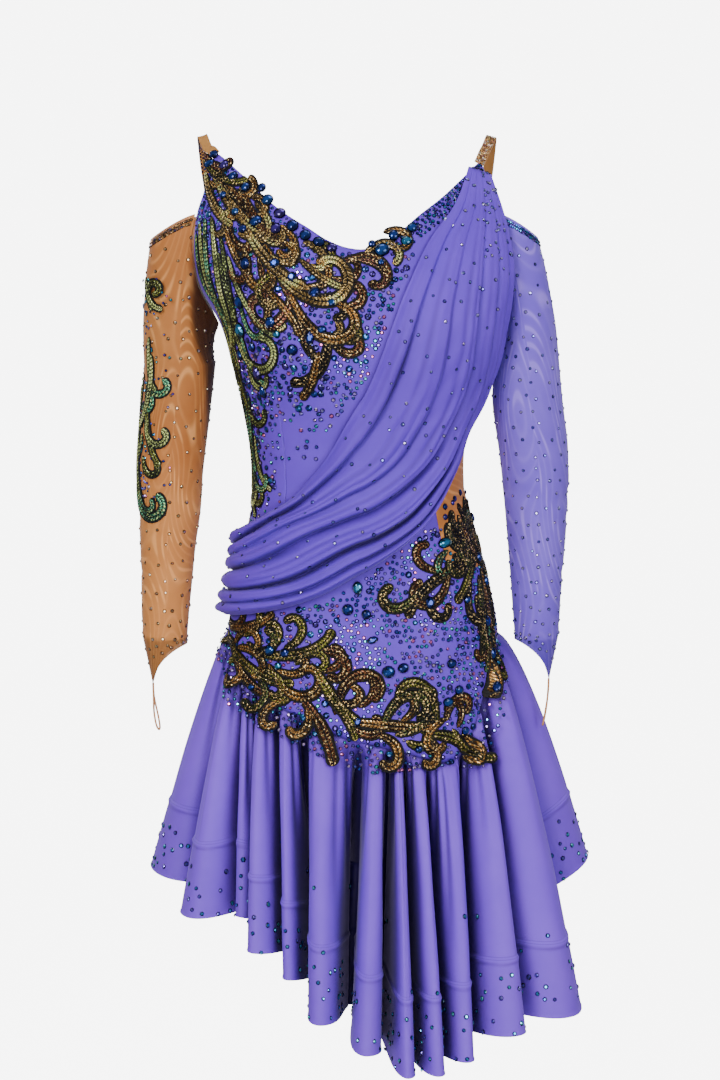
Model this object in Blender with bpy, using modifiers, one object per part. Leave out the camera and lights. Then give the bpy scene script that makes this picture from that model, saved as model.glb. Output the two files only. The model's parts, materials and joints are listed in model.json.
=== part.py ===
"""Salsa dance dress: fitted body with a draped sash, off-the-shoulder mesh sleeves with pointed
cuffs, a fluted skirt with a slanting hem, and sequinned scroll appliques.

World: metres, +Z up, the front faces -Y, so +X is the wearer's left. The origin is the point
midway between the tops of the two shoulder straps. Tables are in millimetres and degrees. An
angle on the body is 0 at centre front, +90 at the wearer's left side, 180 at centre back.
"""
import math

import bmesh
import bpy
from mathutils import Vector

COLLECTION = "SalsaDress"
MM = 0.001

CLOTH = 1.4             # wall of every cloth panel
HEM_BAND = 2.0          # wall of the stiffened hem band
STRAP_WALL = 2.4
SEAM = 0.5              # gap left at a seam
TUCK = {"in": 2.5, "up": 5.0, "down": 1.6}     # the skirt's top edge, sewn inside the body's
APPLIQUE_RISE = 1.1     # gap under an applique, over a faceted panel
APPLIQUE_WALL = 1.1
BODY_POWER = 0.86       # 1 is an ellipse, less is squarer

# The body, from the shoulders to the hips: one row for each section.
BODY = [
    # z, centre, half width, front depth, back depth
    (20, -14, 150, 10, 24),
    (0, -14, 156, 24, 36),
    (-40, -14, 163, 56, 64),
    (-85, -13, 169, 84, 84),
    (-125, -11, 171, 102, 92),
    (-160, -8, 166, 112, 95),
    (-200, -2, 150, 116, 93),
    (-240, 0, 140, 112, 88),
    (-280, 0, 129.5, 104, 82),
    (-320, -2, 119, 96, 77),
    (-360, -2, 115.5, 91, 76),
    (-400, 0, 119, 92, 82),
    (-440, 2, 128, 95, 92),
    (-480, 3, 138, 99, 102),
    (-520, 3, 147, 104, 108),
    (-560, 3, 151, 107, 111),
    (-620, 3, 154, 109, 112),
    (-700, 3, 155, 109, 112),
]
CUP = {"angle": 30, "z": -222, "spread": 17, "height": 48, "rise": 8}

FRONT_NECK = [
    # angle, z
    (-61, -19), (-56, -20), (-46, -32), (-35, -50), (-26, -70), (-18, -86), (-11, -99),
    (-5, -112), (2, -121), (8, -116), (15, -103), (23, -85), (33, -67), (44, -48),
    (57, -30), (62, -29),
]
BACK_NECK = [
    # angle from centre front, z
    (108, -83), (115, -86), (121, -92), (126, -98), (135, -128), (148, -190),
    (162, -245), (180, -268),
]
ARMHOLE = [
    # z, angle of the front edge; the back edge mirrors it about the side
    (-19, 61), (-29, 62), (-63, 66.5), (-83, 72), (-105, 74.5), (-130, 77),
    (-155, 80), (-180, 84.5), (-200, 90),
]
ARM_TOP = -83           # where the sleeve's top edge meets the armhole
UNDERARM = -200
SLEEVE_GAP = 1.5        # the sleeve starts this far out from the armhole
SLEEVE_EASE = 4.0

SKIRT_SEAM = [
    # angle, z
    (-180, -575), (-150, -560), (-120, -538), (-90, -532), (-73, -554), (-62, -575),
    (-50, -590), (-38, -600), (-27, -612), (-19, -620), (-10, -632), (-3, -640),
    (5, -647), (16, -656), (28, -665), (36, -665), (44, -650), (53, -612), (63, -574),
    (74, -551), (90, -538), (120, -540), (150, -560), (180, -575),
]

PANELS = {
    # princess seams, side seams and the mesh insert, as angles and heights
    "princess_right": -39, "princess_left": 40,
    "insert_top": -285, "waist": -372, "insert_bottom": -462,
}

# The draped sash, from the wearer's left shoulder to the right hip.
SASH = [
    # along, upper angle, upper z, lower angle, lower z, upper lift, lower lift, fold height
    (0.00, 50, -34, 68, -42, 2.1, 2.1, 0.4),
    (0.07, 39, -74, 71, -84, 3.6, 6.5, 1.8),
    (0.15, 26, -112, 71, -128, 4.6, 11.0, 3.5),
    (0.24, 17, -158, 71, -172, 4.8, 12.0, 6.0),
    (0.33, 10, -204, 73, -214, 4.8, 11.0, 8.5),
    (0.42, 4, -251, 71, -257, 5.2, 7.0, 11.0),
    (0.51, -3, -296, 64, -305, 6.0, 5.6, 11.0),
    (0.60, -14, -342, 54, -354, 6.4, 6.0, 12.0),
    (0.68, -32, -381, 34, -404, 6.4, 6.4, 12.0),
    (0.76, -50, -401, 8, -447, 6.2, 6.2, 12.5),
    (0.84, -66, -414, -16, -487, 6.2, 6.2, 13.5),
    (0.92, -80, -424, -46, -508, 7.0, 7.0, 14.0),
    (1.00, -93, -430, -92, -521, 4.6, 4.6, 12.5),
]
SASH_GROOVES = [
    # place across the sash at the shoulder, bust, waist, low waist and hip; depth kept
    ("A", 0.14, 0.13, 0.13, 0.11, 0.20, 0.8),
    ("B", 0.31, 0.36, 0.45, 0.27, 0.33, 0.5),
    ("C", 0.50, 0.60, 0.70, 0.47, 0.48, 1.0),
    ("D", 0.70, 0.78, 0.88, 0.78, 0.70, 1.0),
    ("E", 0.86, 0.90, 0.95, 0.91, 0.86, 0.6),
]
SASH_STATIONS = (0, 0.05, 0.10, 0.16, 0.23, 0.30, 0.37, 0.44, 0.51, 0.57, 0.63, 0.69, 0.74, 0.79,
                 0.84, 0.885, 0.925, 0.965, 1.0)

# Sleeves: one row for each ring down the arm.
SLEEVE_RIGHT = [
    # z, centre x, centre y, half width, half depth
    (-245, -196.5, -2, 39, 38),
    (-297, -201.5, -4, 38, 37.5),
    (-358, -207, -8, 36, 36),
    (-403, -208, -13, 34, 34),
    (-440, -210, -17, 30.5, 31),
    (-480, -211.5, -21, 28, 29),
    (-515, -213, -25, 26, 27.5),
    (-540, -213.5, -27, 24.5, 26.5),
]
SLEEVE_LEFT = [
    (-245, 182, -2, 35.5, 37),
    (-285, 183, -4, 38.5, 38),
    (-340, 190, -8, 38, 37),
    (-388, 192.5, -12, 35.5, 35),
    (-437, 193, -17, 31.5, 32),
    (-475, 193, -21, 28.5, 29.5),
    (-510, 193, -25, 26, 27.5),
    (-535, 193.5, -27, 24.5, 26),
]
SLEEVE_TOP = {
    # the free edge over the outer arm: its lowest height, its reach and its half depth
    "right": {"low": -110, "reach": -227, "depth": 38},
    "left": {"low": -108, "reach": 193, "depth": 37},
}
CUFF = {"short": 8, "point": 52, "power": 1.5, "draw_in": 0.42}
LOOP = {"length": 52, "width": 8, "diameter": 2.2}

# The skirt: one row for each flute, from the wearer's right round the front to the back.
FLUTES = [
    # crest at the seam, crest at the hem, hem radius, hem z, fullness, then the groove after
    # it: its angle at the seam, at the hem, and its radius
    ("side_right", -86, -87, 233, -800, 0.97, -74, -65, 172),
    ("f1", -65, -53, 230, -824, 1.00, -58, -45, 148),
    ("f2", -53, -40.5, 198, -820, 1.00, -48, -35.5, 150),
    ("f3", -42, -30, 224, -846, 1.00, -35, -24.5, 146),
    ("f4", -29, -20.5, 216, -872, 1.00, -23, -16.5, 136),
    ("f5", -12, -10, 242, -908, 1.05, -1, -4.5, 132),
    ("f6", 4, 1.6, 248, -937, 1.05, 8, 7.8, 140),
    ("f7", 11, 11.5, 249, -962, 1.00, 14, 15.5, 164),
    ("f8", 19, 19.5, 247, -964, 1.00, 24, 23.5, 158),
    ("f9", 33, 28, 242, -956, 1.00, 43, 33, 150),
    ("f10", 50, 41, 256, -934, 1.05, 57, 49, 138),
    ("f11", 67, 60, 268, -932, 0.98, 80, 75, 146),
    ("side_left", 92, 95, 257, -796, 0.86, 103, 113, 172),
    ("b1", 114, 127, 246, -786, 1.00, 124, 138, 172),
    ("b2", 134, 150, 240, -800, 1.00, 144, 161, 166),
    ("b3", 154, 172, 238, -814, 1.00, 165, 183, 164),
    ("b4", 176, 194, 238, -816, 1.00, 187, 205, 164),
    ("b5", 198, 216, 240, -806, 1.00, 210, 227, 168),
    ("b6", 222, 238, 242, -797, 1.00, 253, 257, 176),
]
FLUTE_SHAPE = {"broad": 0.62, "overhang": 0.95, "early": 0.55, "broad_steps": 10,
               "narrow_steps": 8}
BACK_FLUTES = 6         # the last rows of the table are the back of the skirt
SKIRT_ROWS = (-1, 0.0, 0.10, 0.24, 0.46, 0.725, 0.745, 0.87, 1.0)
BAND_ROW = 6            # the row where the hem band starts

STRAP = [
    # share of the way, angle, z, width: from the front peak over the shoulder to the back
    (0.0, 59, -29.5, 11),
    (0.2, 68, -14, 11),
    (0.42, 84, 0, 11),
    (0.6, 99, -8, 11),
    (0.8, 112, -42, 11),
    (1.0, 123.5, -94.5, 11),
]

# Applique scrolls: each is a ribbon laid on the body. Its start is given across the body from
# centre front and by height, in mm; heading 0 points to the wearer's left and 90 up; it turns
# by "bend" degrees along its length and by "curl" degrees more towards its end.
SCROLLS = {
    "applique_bust": [
        # across, z, heading, length, bend, curl, width
        (-146, -40, -62, 108, 10, 50, 15),
        (-128, -84, -22, 70, -10, 255, 9),
        (-114, -90, -62, 100, 8, 36, 15),
        (-126, -76, -104, 88, 16, 270, 11),
        (-106, -112, -112, 92, 10, 265, 11),
        (-82, -140, -54, 146, 30, 250, 14),
        (-10, -136, 22, 86, -8, -256, 11),
        (-62, -164, -112, 100, -10, -255, 13),
        (-66, -166, -76, 128, 30, 235, 13),
        (-30, -206, -100, 78, 4, -110, 12),
        (-72, -144, 196, 70, 10, 240, 10),
    ],
    "applique_side": [
        (-170, -92, -96, 110, 8, 30, 9),
        (-160, -88, -98, 150, 14, 0, 9),
        (-150, -86, -88, 142, 0, -30, 9),
        (-146, -122, -80, 106, -6, -60, 8),
        (-154, -200, -72, 126, 18, 255, 11),
        (-166, -212, -80, 104, 6, 30, 9),
        (-150, -262, -88, 104, -6, -24, 9),
        (-152, -334, -84, 78, -6, 40, 8),
    ],
    "applique_hip_front": [
        (-184, -534, -34, 122, -4, 44, 13),
        (-158, -546, 52, 72, -6, -250, 10),
        (-116, -552, 2, 96, -12, 80, 12),
        (-66, -552, 24, 88, -4, -265, 12),
        (-104, -560, -62, 112, 20, 262, 13),
        (-52, -560, -62, 80, 6, 24, 15),
        (-30, -612, 76, 100, 8, -262, 13),
        (-22, -618, -6, 100, -4, 10, 13),
        (20, -626, 66, 92, 12, -268, 12),
        (72, -634, -10, 42, 4, -40, 13),
        (90, -618, -150, 64, -4, 262, 11),
        (80, -624, 98, 90, -24, 255, 12),
        (90, -622, 76, 60, -6, -250, 10),
    ],
    "applique_hip_left": [
        (150, -418, -116, 92, 8, -30, 12),
        (136, -450, 192, 112, 16, 46, 12),
        (62, -478, 236, 74, -10, -250, 11),
        (96, -462, -104, 86, -16, -250, 11),
        (126, -474, -112, 80, 16, 250, 10),
        (142, -470, -94, 82, 4, 24, 11),
        (128, -446, 100, 72, 10, -240, 10),
        (146, -430, -58, 104, -34, -10, 9),
    ],
}
SCROLL_STEP = 14        # length of ribbon between two cross lines
CURL_LAW = 2.2
ARM_SCROLLS = [
    # around the arm from its outer side, z, heading, length, bend, curl, width
    (-2, -302, 84, 78, 10, 255, 10),
    (0, -296, -92, 112, 6, 24, 11),
    (0, -366, -62, 112, -40, 250, 11),
]

COLOURS = {
    # base colour, roughness, metallic
    "violet": ((0.215, 0.150, 0.600, 1), 0.55, 0.0),
    "violet_mesh": ((0.260, 0.200, 0.640, 1), 0.70, 0.0),
    "skin_mesh": ((0.560, 0.235, 0.085, 1), 0.70, 0.0),
    "gold": ((0.420, 0.230, 0.070, 1), 0.35, 0.6),
    "olive": ((0.170, 0.190, 0.050, 1), 0.40, 0.5),
    "elastic": ((0.620, 0.340, 0.170, 1), 0.60, 0.0),
}


# ---------- tables and curves ----------
def smooth(table, x, column=1):
    """Value of a table's column at x: a cubic through its rows, sorted by the first column."""
    rows = table if table[0][0] < table[-1][0] else table[::-1]
    if x <= rows[0][0]:
        return rows[0][column]
    if x >= rows[-1][0]:
        return rows[-1][column]
    k = max(i for i in range(len(rows) - 1) if rows[i][0] <= x)

    def slope(i):
        a, b = max(i - 1, 0), min(i + 1, len(rows) - 1)
        return (rows[b][column] - rows[a][column]) / (rows[b][0] - rows[a][0])

    x0, x1 = rows[k][0], rows[k + 1][0]
    y0, y1 = rows[k][column], rows[k + 1][column]
    t, h = (x - x0) / (x1 - x0), x1 - x0
    return ((2 * t ** 3 - 3 * t * t + 1) * y0 + (t ** 3 - 2 * t * t + t) * h * slope(k)
            + (3 * t * t - 2 * t ** 3) * y1 + (t ** 3 - t * t) * h * slope(k + 1))


def mix(a, b, t):
    return a + (b - a) * t


def power(value, exponent):
    return math.copysign(abs(value) ** exponent, value)


# ---------- the body's surface ----------
def body_section(angle, z):
    """Point of the body's surface, in mm, before the cups are added."""
    centre, half, front, back = (smooth(BODY, z, k) for k in (1, 2, 3, 4))
    s, c = math.sin(math.radians(angle)), math.cos(math.radians(angle))
    depth = front if c > 0 else back
    return Vector((centre + half * power(s, BODY_POWER), -depth * power(c, BODY_POWER), z))


def body_normal(angle, z):
    across = body_section(angle + 2, z) - body_section(angle - 2, z)
    down = body_section(angle, z - 4) - body_section(angle, z + 4)
    return down.cross(across).normalized()


def cup_rise(angle, z):
    turn = (angle + 180) % 360 - 180
    height = ((z - CUP["z"]) / CUP["height"]) ** 2
    return sum(CUP["rise"] * math.exp(-((turn - side * CUP["angle"]) / CUP["spread"]) ** 2 - height)
               for side in (-1, 1))


def on_body(angle, z, out=0.0):
    """Point on the body's surface, or out from it, in mm."""
    return body_section(angle, z) + body_normal(angle, z) * (out + cup_rise(angle, z))


def seam_turn(angle, z, gap):
    """Degrees that move an edge sideways by a gap in mm."""
    arc = (body_section(angle + 1, z) - body_section(angle - 1, z)).length / 2
    return gap / arc


def seam_z(angle):
    return smooth(SKIRT_SEAM, (angle + 180) % 360 - 180)


# ---------- mesh helpers ----------
def new_object(name, verts, faces, colour, collection=None):
    mesh = bpy.data.meshes.new(name)
    mesh.from_pydata([Vector(v) * MM for v in verts], [], faces)
    mesh.update()
    obj = bpy.data.objects.new(name, mesh)
    (collection or PARTS).objects.link(obj)
    obj.data.materials.append(material(colour))
    return obj


def material(name):
    found = bpy.data.materials.get(name)
    if found:
        return found
    mat = bpy.data.materials.new(name)
    mat.use_nodes = True
    shader = mat.node_tree.nodes["Principled BSDF"]
    colour, roughness, metallic = COLOURS[name]
    shader.inputs["Base Color"].default_value = colour
    shader.inputs["Roughness"].default_value = roughness
    shader.inputs["Metallic"].default_value = metallic
    mat.diffuse_color = colour
    return mat


def sheet(name, rows, colour, ring=False, wall=CLOTH, side=-1, thin=None, even=True):
    """A wall of cloth from rows of points. side -1 adds the wall inside the points, 1 outside;
    thin gives, row by row, the share of the wall that is kept."""
    count = len(rows[0])
    verts = [p for row in rows for p in row]
    faces = []
    for j in range(len(rows) - 1):
        for i in range(count if ring else count - 1):
            a, b = j * count + i, j * count + (i + 1) % count
            faces.append((a, a + count, b + count, b))
    obj = new_object(name, verts, faces, colour)
    solid = obj.modifiers.new("Wall", "SOLIDIFY")
    solid.thickness = wall * MM
    solid.offset = side
    solid.use_even_offset = even
    solid.use_rim = True
    if thin:
        group = obj.vertex_groups.new(name="thickness")
        for j, share in enumerate(thin):
            group.add(range(j * count, (j + 1) * count), share, "REPLACE")
        solid.vertex_group = group.name
    obj.data.shade_smooth()
    obj.data.set_sharp_from_angle(angle=math.radians(50))
    return obj


def apply_modifiers(obj):
    graph = bpy.context.evaluated_depsgraph_get()
    mesh = bpy.data.meshes.new_from_object(obj.evaluated_get(graph))
    old = obj.data
    obj.modifiers.clear()
    obj.data = mesh
    bpy.data.meshes.remove(old)


# ---------- body panels ----------
def steps(count):
    return [k / count for k in range(count + 1)]


def levels(top, bottom):
    """Heights of a panel's rows at one edge. Panels that meet share these heights."""
    marks = [(UNDERARM, 4), (PANELS["insert_top"], 2), (PANELS["waist"], 3),
             (PANELS["insert_bottom"], 3), (bottom, 3)]
    heights, last = [top], top
    for mark, rows in marks:
        if last > mark >= bottom:
            heights += [mix(last, mark, (k + 1) / rows) for k in range(rows)]
            last = mark
    return heights


def panel(left, right, top, bottom, columns, left_rows, right_rows):
    """Rows of points between two edges. left and right give the edge's angle at a height,
    top and bottom the height at an angle, and the rows' heights are given at each edge."""
    shares = [[(rows[0] - z) / (rows[0] - rows[-1]) for z in rows]
              for rows in (left_rows, right_rows)]
    points = []
    for j in range(len(left_rows)):
        row = []
        for u in steps(columns):
            high = top(mix(left(left_rows[0]), right(right_rows[0]), u))
            low = bottom(mix(left(left_rows[-1]), right(right_rows[-1]), u))
            z = mix(high, low, mix(shares[0][j], shares[1][j], u))
            row.append(on_body(mix(left(left_rows[j]), right(right_rows[j]), u), z))
        points.append(row)
    return points


def straight_edge(angle, inward):
    """A seam at one angle, with half the gap on the side where the panel lies."""
    return lambda z: angle + inward * seam_turn(angle, z, SEAM / 2)


def armhole_edge(side, back=False):
    """The armhole and then the side seam, of the front or of the back."""
    def edge(z):
        angle = smooth(ARMHOLE, z) if z > UNDERARM else 90.0
        angle -= seam_turn(90, z, SEAM / 2)
        return side * (180 - angle if back else angle)
    return edge


def body_bottom(angle):
    return seam_z(angle)


def neck(angle):
    return smooth(FRONT_NECK, angle)


def make_body():
    right, left = PANELS["princess_right"], PANELS["princess_left"]
    high, low = PANELS["insert_top"], PANELS["insert_bottom"]
    at_right, at_left = levels(neck(right), seam_z(right)), levels(neck(left), seam_z(left))
    at_side, count = levels(-19, seam_z(90)), len(levels(neck(left), seam_z(left)))
    sheet("front_panel",
          panel(straight_edge(right, 1), straight_edge(left, -1), neck, body_bottom, 10,
                at_right, at_left), "violet")
    sheet("side_front_right",
          panel(armhole_edge(-1), straight_edge(right, -1), neck, body_bottom, 7,
                at_side, at_right), "violet")

    top, insert, hip = slice(0, 7), slice(6, 13), slice(12, count)
    gap = SEAM / 2
    left_side = levels(-29, seam_z(90))
    for name, part, head, foot, colour in (
            ("side_front_left", top, neck, lambda a: high + gap, "violet"),
            ("waist_insert", insert, lambda a: high - gap, lambda a: low + gap, "skin_mesh"),
            ("side_hip_left", hip, lambda a: low - gap, body_bottom, "violet")):
        sheet(name, panel(straight_edge(left, 1), armhole_edge(1), head, foot, 7,
                          at_left[part], left_side[part]), colour)

    def back_top(angle):
        return smooth(BACK_NECK, abs(angle))

    back_side = levels(ARM_TOP, seam_z(90))
    middle = [mix(back_top(180), seam_z(180), t) for t in steps(len(back_side) - 1)]
    near = panel(armhole_edge(1, True), lambda z: 180.0, back_top, body_bottom, 8,
                 back_side, middle)
    far = panel(lambda z: -180.0, armhole_edge(-1, True), back_top, body_bottom, 8,
                middle, back_side)
    sheet("back_panel", [a + b[1:] for a, b in zip(near, far)], "violet")


# ---------- sash ----------
def groove_places(along):
    """Places of the grooves across the sash, with its two edges."""
    marks = (0.0, 0.33, 0.55, 0.76, 1.0)
    places = [(0.0, 1.0)]
    for row in SASH_GROOVES:
        table = list(zip(marks, row[1:6]))
        places.append((smooth(table, along), row[6]))
    return places + [(1.0, 1.0)]


def sash_point(along, place, fold):
    upper, upper_z, lower, lower_z, near, far = (smooth(SASH, along, k) for k in range(1, 7))
    return on_body(mix(upper, lower, place), mix(upper_z, lower_z, place),
                   mix(near, far, place) + fold)


def make_sash():
    rows = []
    for along in SASH_STATIONS:
        places = groove_places(along)
        height = smooth(SASH, along, 7)
        row = []
        for k in range(len(places) - 1):
            (start, deep_a), (end, deep_b) = places[k], places[k + 1]
            for q in (0.0, 0.28, 0.62, 0.88):
                floor = height * (1 - mix(deep_a, deep_b, q))
                ridge = math.sin(math.pi * q ** 1.35) ** 0.8 if q else 0.0
                row.append(sash_point(along, mix(start, end, q),
                                      floor + (height - floor) * ridge))
        row.append(sash_point(along, 1.0, 0.0))
        rows.append(row)
    sheet("drape_sash", rows, "violet")


# ---------- straps ----------
def make_strap(name, side):
    rows = []
    for t in steps(10):
        angle, z, width = (smooth(STRAP, t, k) for k in (1, 2, 3))
        if side < 0 and t == 0:
            z += 9.5
        if side < 0 and 0 < t < 0.2:
            z += 6
        here = on_body(side * angle, z)
        ahead = smooth(STRAP, min(t + 0.05, 1), 1), smooth(STRAP, min(t + 0.05, 1), 2)
        behind = smooth(STRAP, max(t - 0.05, 0), 1), smooth(STRAP, max(t - 0.05, 0), 2)
        along = (on_body(side * ahead[0], ahead[1]) - on_body(side * behind[0], behind[1]))
        out = body_normal(side * angle, z)
        across = along.normalized().cross(out).normalized() * width / 2
        rows.append([here - across, here, here + across])
    sheet(name, rows, "gold", wall=STRAP_WALL)


# ---------- sleeves ----------
def arm_ring(table, side, z, turn):
    """Point on the tube of an arm; turn 0 is its front, 90 its outer side."""
    x, y, half, depth = (smooth(table, z, k) for k in (1, 2, 3, 4))
    s, c = math.sin(math.radians(turn)), math.cos(math.radians(turn))
    return Vector((x + side * half * s, y - depth * c, z))


def arm_top(side, turn):
    """Point on the sleeve's top loop: a free edge over the outer arm, then the armhole."""
    top = SLEEVE_TOP["right" if side < 0 else "left"]
    if turn <= 180:
        corner = on_body(side * smooth(ARMHOLE, ARM_TOP), ARM_TOP, SLEEVE_GAP)
        s, c = math.sin(math.radians(turn)), math.cos(math.radians(turn))
        reach = top["reach"] - corner.x
        return Vector((corner.x + reach * s, mix(-top["depth"], corner.y, abs(c)) * power(c, 0.9),
                       mix(ARM_TOP, top["low"], s ** 1.3)))
    q = (turn - 180) / 180
    z = mix(ARM_TOP, UNDERARM, math.sin(math.pi * q) ** 1.15)
    angle = smooth(ARMHOLE, z)
    return on_body(side * (angle if q > 0.5 else 180 - angle), z, SLEEVE_GAP)


def make_sleeve(name, side, table, colour):
    turns = [k * 20 for k in range(18)]
    first, wrist = table[0][0], table[-1][0]
    rows = []
    for t in (0, 0.25, 0.55):
        ease = Vector((side * SLEEVE_EASE * math.sin(math.pi * t), 0, 0))
        rows.append([arm_top(side, a).lerp(arm_ring(table, side, first, a), t) + ease
                     for a in turns])
    for t in steps(5):
        z = mix(first, wrist, t)
        rows.append([arm_ring(table, side, z, a) for a in turns])
    x, y, half, depth = table[-1][1:]
    cuff = []
    for a in turns:
        reach = ((1 + math.sin(math.radians(a))) / 2) ** CUFF["power"]
        drop = CUFF["short"] + (CUFF["point"] - CUFF["short"]) * reach
        point = arm_ring(table, side, wrist, a)
        cuff.append((point, drop, reach))
    for share in (0.5, 1.0):
        pull = CUFF["draw_in"] * share
        rows.append([Vector((mix(p.x, x, reach * pull), mix(p.y, y, reach * pull),
                             p.z - drop * share)) for p, drop, reach in cuff])
    if side < 0:
        rows = [row[::-1] for row in rows]
    sheet(name, rows, colour, ring=True, even=False)


def make_loop(name, side, table):
    """An elastic finger loop that hangs from the cuff's point."""
    x, y, half, depth = table[-1][1:]
    tip = arm_ring(table, side, table[-1][0], 90)
    tip.x = mix(tip.x, x, CUFF["draw_in"])
    tip.x -= side * CLOTH / 2
    tip.z -= CUFF["point"] + 0.4
    curve = bpy.data.curves.new(name, "CURVE")
    curve.dimensions = "3D"
    spline = curve.splines.new("POLY")
    path = []
    for t in steps(16):
        turn = math.pi * t
        open_share = math.sin(turn) ** 2
        swing = LOOP["width"] / 2 * open_share + 1.2
        path.append(Vector((tip.x - side * 6 * math.sin(turn) ** 1.5,
                            tip.y + math.cos(turn) * swing,
                            tip.z - LOOP["length"] * math.sin(turn) ** 0.8)))
    spline.points.add(len(path) - 1)
    for point, place in zip(spline.points, path):
        point.co = (*(place * MM), 1)
    curve.bevel_depth = LOOP["diameter"] / 2 * MM
    curve.bevel_resolution = 1
    curve.use_fill_caps = True
    obj = bpy.data.objects.new(name, curve)
    PARTS.objects.link(obj)
    obj.data.materials.append(material("elastic"))


# ---------- skirt ----------
def flute_nodes():
    """Crests and grooves in order round the skirt: seam angle, hem angle, radius, hem z."""
    nodes = []
    for k, row in enumerate(FLUTES):
        nearby = FLUTES[(k + 1) % len(FLUTES)]
        crest, full = row[1:5], row[5]
        nodes.append((*crest, full, True))
        nodes.append((*row[6:9], (row[4] + nearby[4]) / 2, (full + nearby[5]) / 2, False))
    nodes.append((nodes[0][0] + 360, nodes[0][1] + 360, *nodes[0][2:]))
    return nodes


def skirt_columns():
    """One entry for each column of the skirt, and the columns where the front and back meet."""
    nodes, columns = flute_nodes(), []
    last_front = 2 * (len(FLUTES) - BACK_FLUTES)
    for k in range(len(nodes) - 1):
        a, b = nodes[k], nodes[k + 1]
        lean = 1 if a[5] else -1
        narrow = abs(b[1] - a[1]) < 5.2 or k >= last_front
        half = FLUTE_SHAPE["narrow_steps" if narrow else "broad_steps"] // 2
        if k == last_front - 1:
            split = len(columns)
        for step in range(half):
            q = step / half
            sway = math.sin(math.pi * q) / math.pi * FLUTE_SHAPE["broad"] * lean
            back = math.sin(2 * math.pi * q) / (2 * math.pi) * FLUTE_SHAPE["overhang"]
            wave = (1 - math.cos(math.pi * q)) / 2
            columns.append({
                "seam": mix(a[0], b[0], q + sway * 0.6),
                "hem": mix(a[1], b[1], q + sway + back),
                "plain": mix(a[1], b[1], q + sway * 0.6),
                "radius": mix(a[2], b[2], wave),
                "middle": (a[2] + b[2]) / 2,
                "z": mix(a[3], b[3], wave),
                "full": mix(a[4], b[4], wave),
            })
    return columns, split


def skirt_top(angle, down):
    """Point of the skirt's sewn edge, inside the body's lower edge, so far below it."""
    slope = (seam_z(angle + 1) - seam_z(angle - 1)) * seam_turn(angle, seam_z(angle), 0.5)
    return on_body(angle, seam_z(angle) - down * math.hypot(1, slope), -TUCK["in"])


def skirt_point(column, t):
    if t < 0:
        return skirt_top(column["seam"], -TUCK["up"])
    start = skirt_top(column["seam"], TUCK["down"])

    def at_hem(angle, radius):
        turn = math.radians(angle)
        return Vector((radius * math.sin(turn), -radius * math.cos(turn), column["z"]))

    middle = at_hem(column["plain"], column["middle"])
    wave = at_hem(column["hem"], column["radius"]) - middle
    point = start.lerp(middle, t ** column["full"]) + wave * t ** FLUTE_SHAPE["early"]
    point.z = mix(start.z, column["z"], t)
    return point


def make_skirt():
    columns, split = skirt_columns()
    around, half = len(columns), FLUTE_SHAPE["narrow_steps"] // 2
    thin = [CLOTH / HEM_BAND if j < BAND_ROW else 1.0 for j in range(len(SKIRT_ROWS))]

    def wall(name, first, last):
        rows = []
        for t in SKIRT_ROWS:
            row = [skirt_point(columns[k % around], t) for k in range(first, last + 1)]
            for end, beside in ((0, 1), (-1, -2)):
                inward = row[beside] - row[end]
                row[end] = row[end] + inward.normalized() * SEAM / 2
            rows.append(row)
        sheet(name, rows, "violet", wall=HEM_BAND, thin=thin)

    wall("skirt_front", -half, split)
    wall("skirt_back", split, around - half)


# ---------- appliques ----------
def scroll_line(row, count):
    """Centre points, headings and half widths along a scroll, laid flat."""
    x, z, heading, length, bend, curl, width = row
    line, place, fine = [], 0.0, 10
    for k in range(count + 1):
        end = 1 - (1 - k / count) ** 1.2
        for _ in range(fine if k else 0):
            place += (end - line[-1][4]) / fine
            turn = math.radians(heading + bend * place + curl * place ** CURL_LAW)
            step = length * (end - line[-1][4]) / fine
            x += math.cos(turn) * step
            z += math.sin(turn) * step
        turn = math.radians(heading + bend * end + curl * end ** CURL_LAW)
        swell = 0.34 + 0.66 * math.sin(math.pi * (0.1 + 0.75 * end))
        line.append((x, z, turn, width / 2 * swell, end))
    return line


def flat_ribbon(name, row, height):
    """A scroll as a flat closed strip: x across, y up the body, z its thickness."""
    verts, faces = [], []
    count = max(7, round(row[3] / SCROLL_STEP))
    for x, z, turn, half, _ in scroll_line(row, count):
        side = (-math.sin(turn) * half, math.cos(turn) * half)
        for sign, level in ((-1, 0), (1, 0), (1, height), (-1, height)):
            verts.append((x + sign * side[0], z + sign * side[1], level))
    for k in range(count):
        for i in range(4):
            a, b = k * 4 + i, k * 4 + (i + 1) % 4
            faces.append((a, b, b + 4, a + 4))
    faces += [(0, 3, 2, 1), tuple(count * 4 + i for i in range(4))]
    obj = new_object(name, verts, faces, "gold", CUTTERS)
    mesh = bmesh.new()
    mesh.from_mesh(obj.data)
    bmesh.ops.recalc_face_normals(mesh, faces=mesh.faces)
    mesh.to_mesh(obj.data)
    mesh.free()
    obj.hide_render = True
    obj.display_type = "WIRE"
    return obj


def body_arc():
    """Arc length from centre front to each angle, at each height of the body, in mm."""
    table = {}
    for z in range(-720, 1, 10):
        arc, arcs, last = 0.0, [(0.0, 0.0)], on_body(0, z)
        for angle in range(3, 181, 3):
            here = on_body(angle, z)
            arc += (here - last).length
            arcs.append((arc, angle))
            last = here
        table[z] = arcs
    return table


def angle_of(across, z, arcs):
    """Angle on the body at an arc length from centre front."""
    low = max(-720, min(-10, 10 * math.floor(z / 10)))

    def read(height):
        return smooth(arcs[height], abs(across))

    return math.copysign(mix(read(low), read(low + 10), (z - low) / 10), across)


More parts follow.
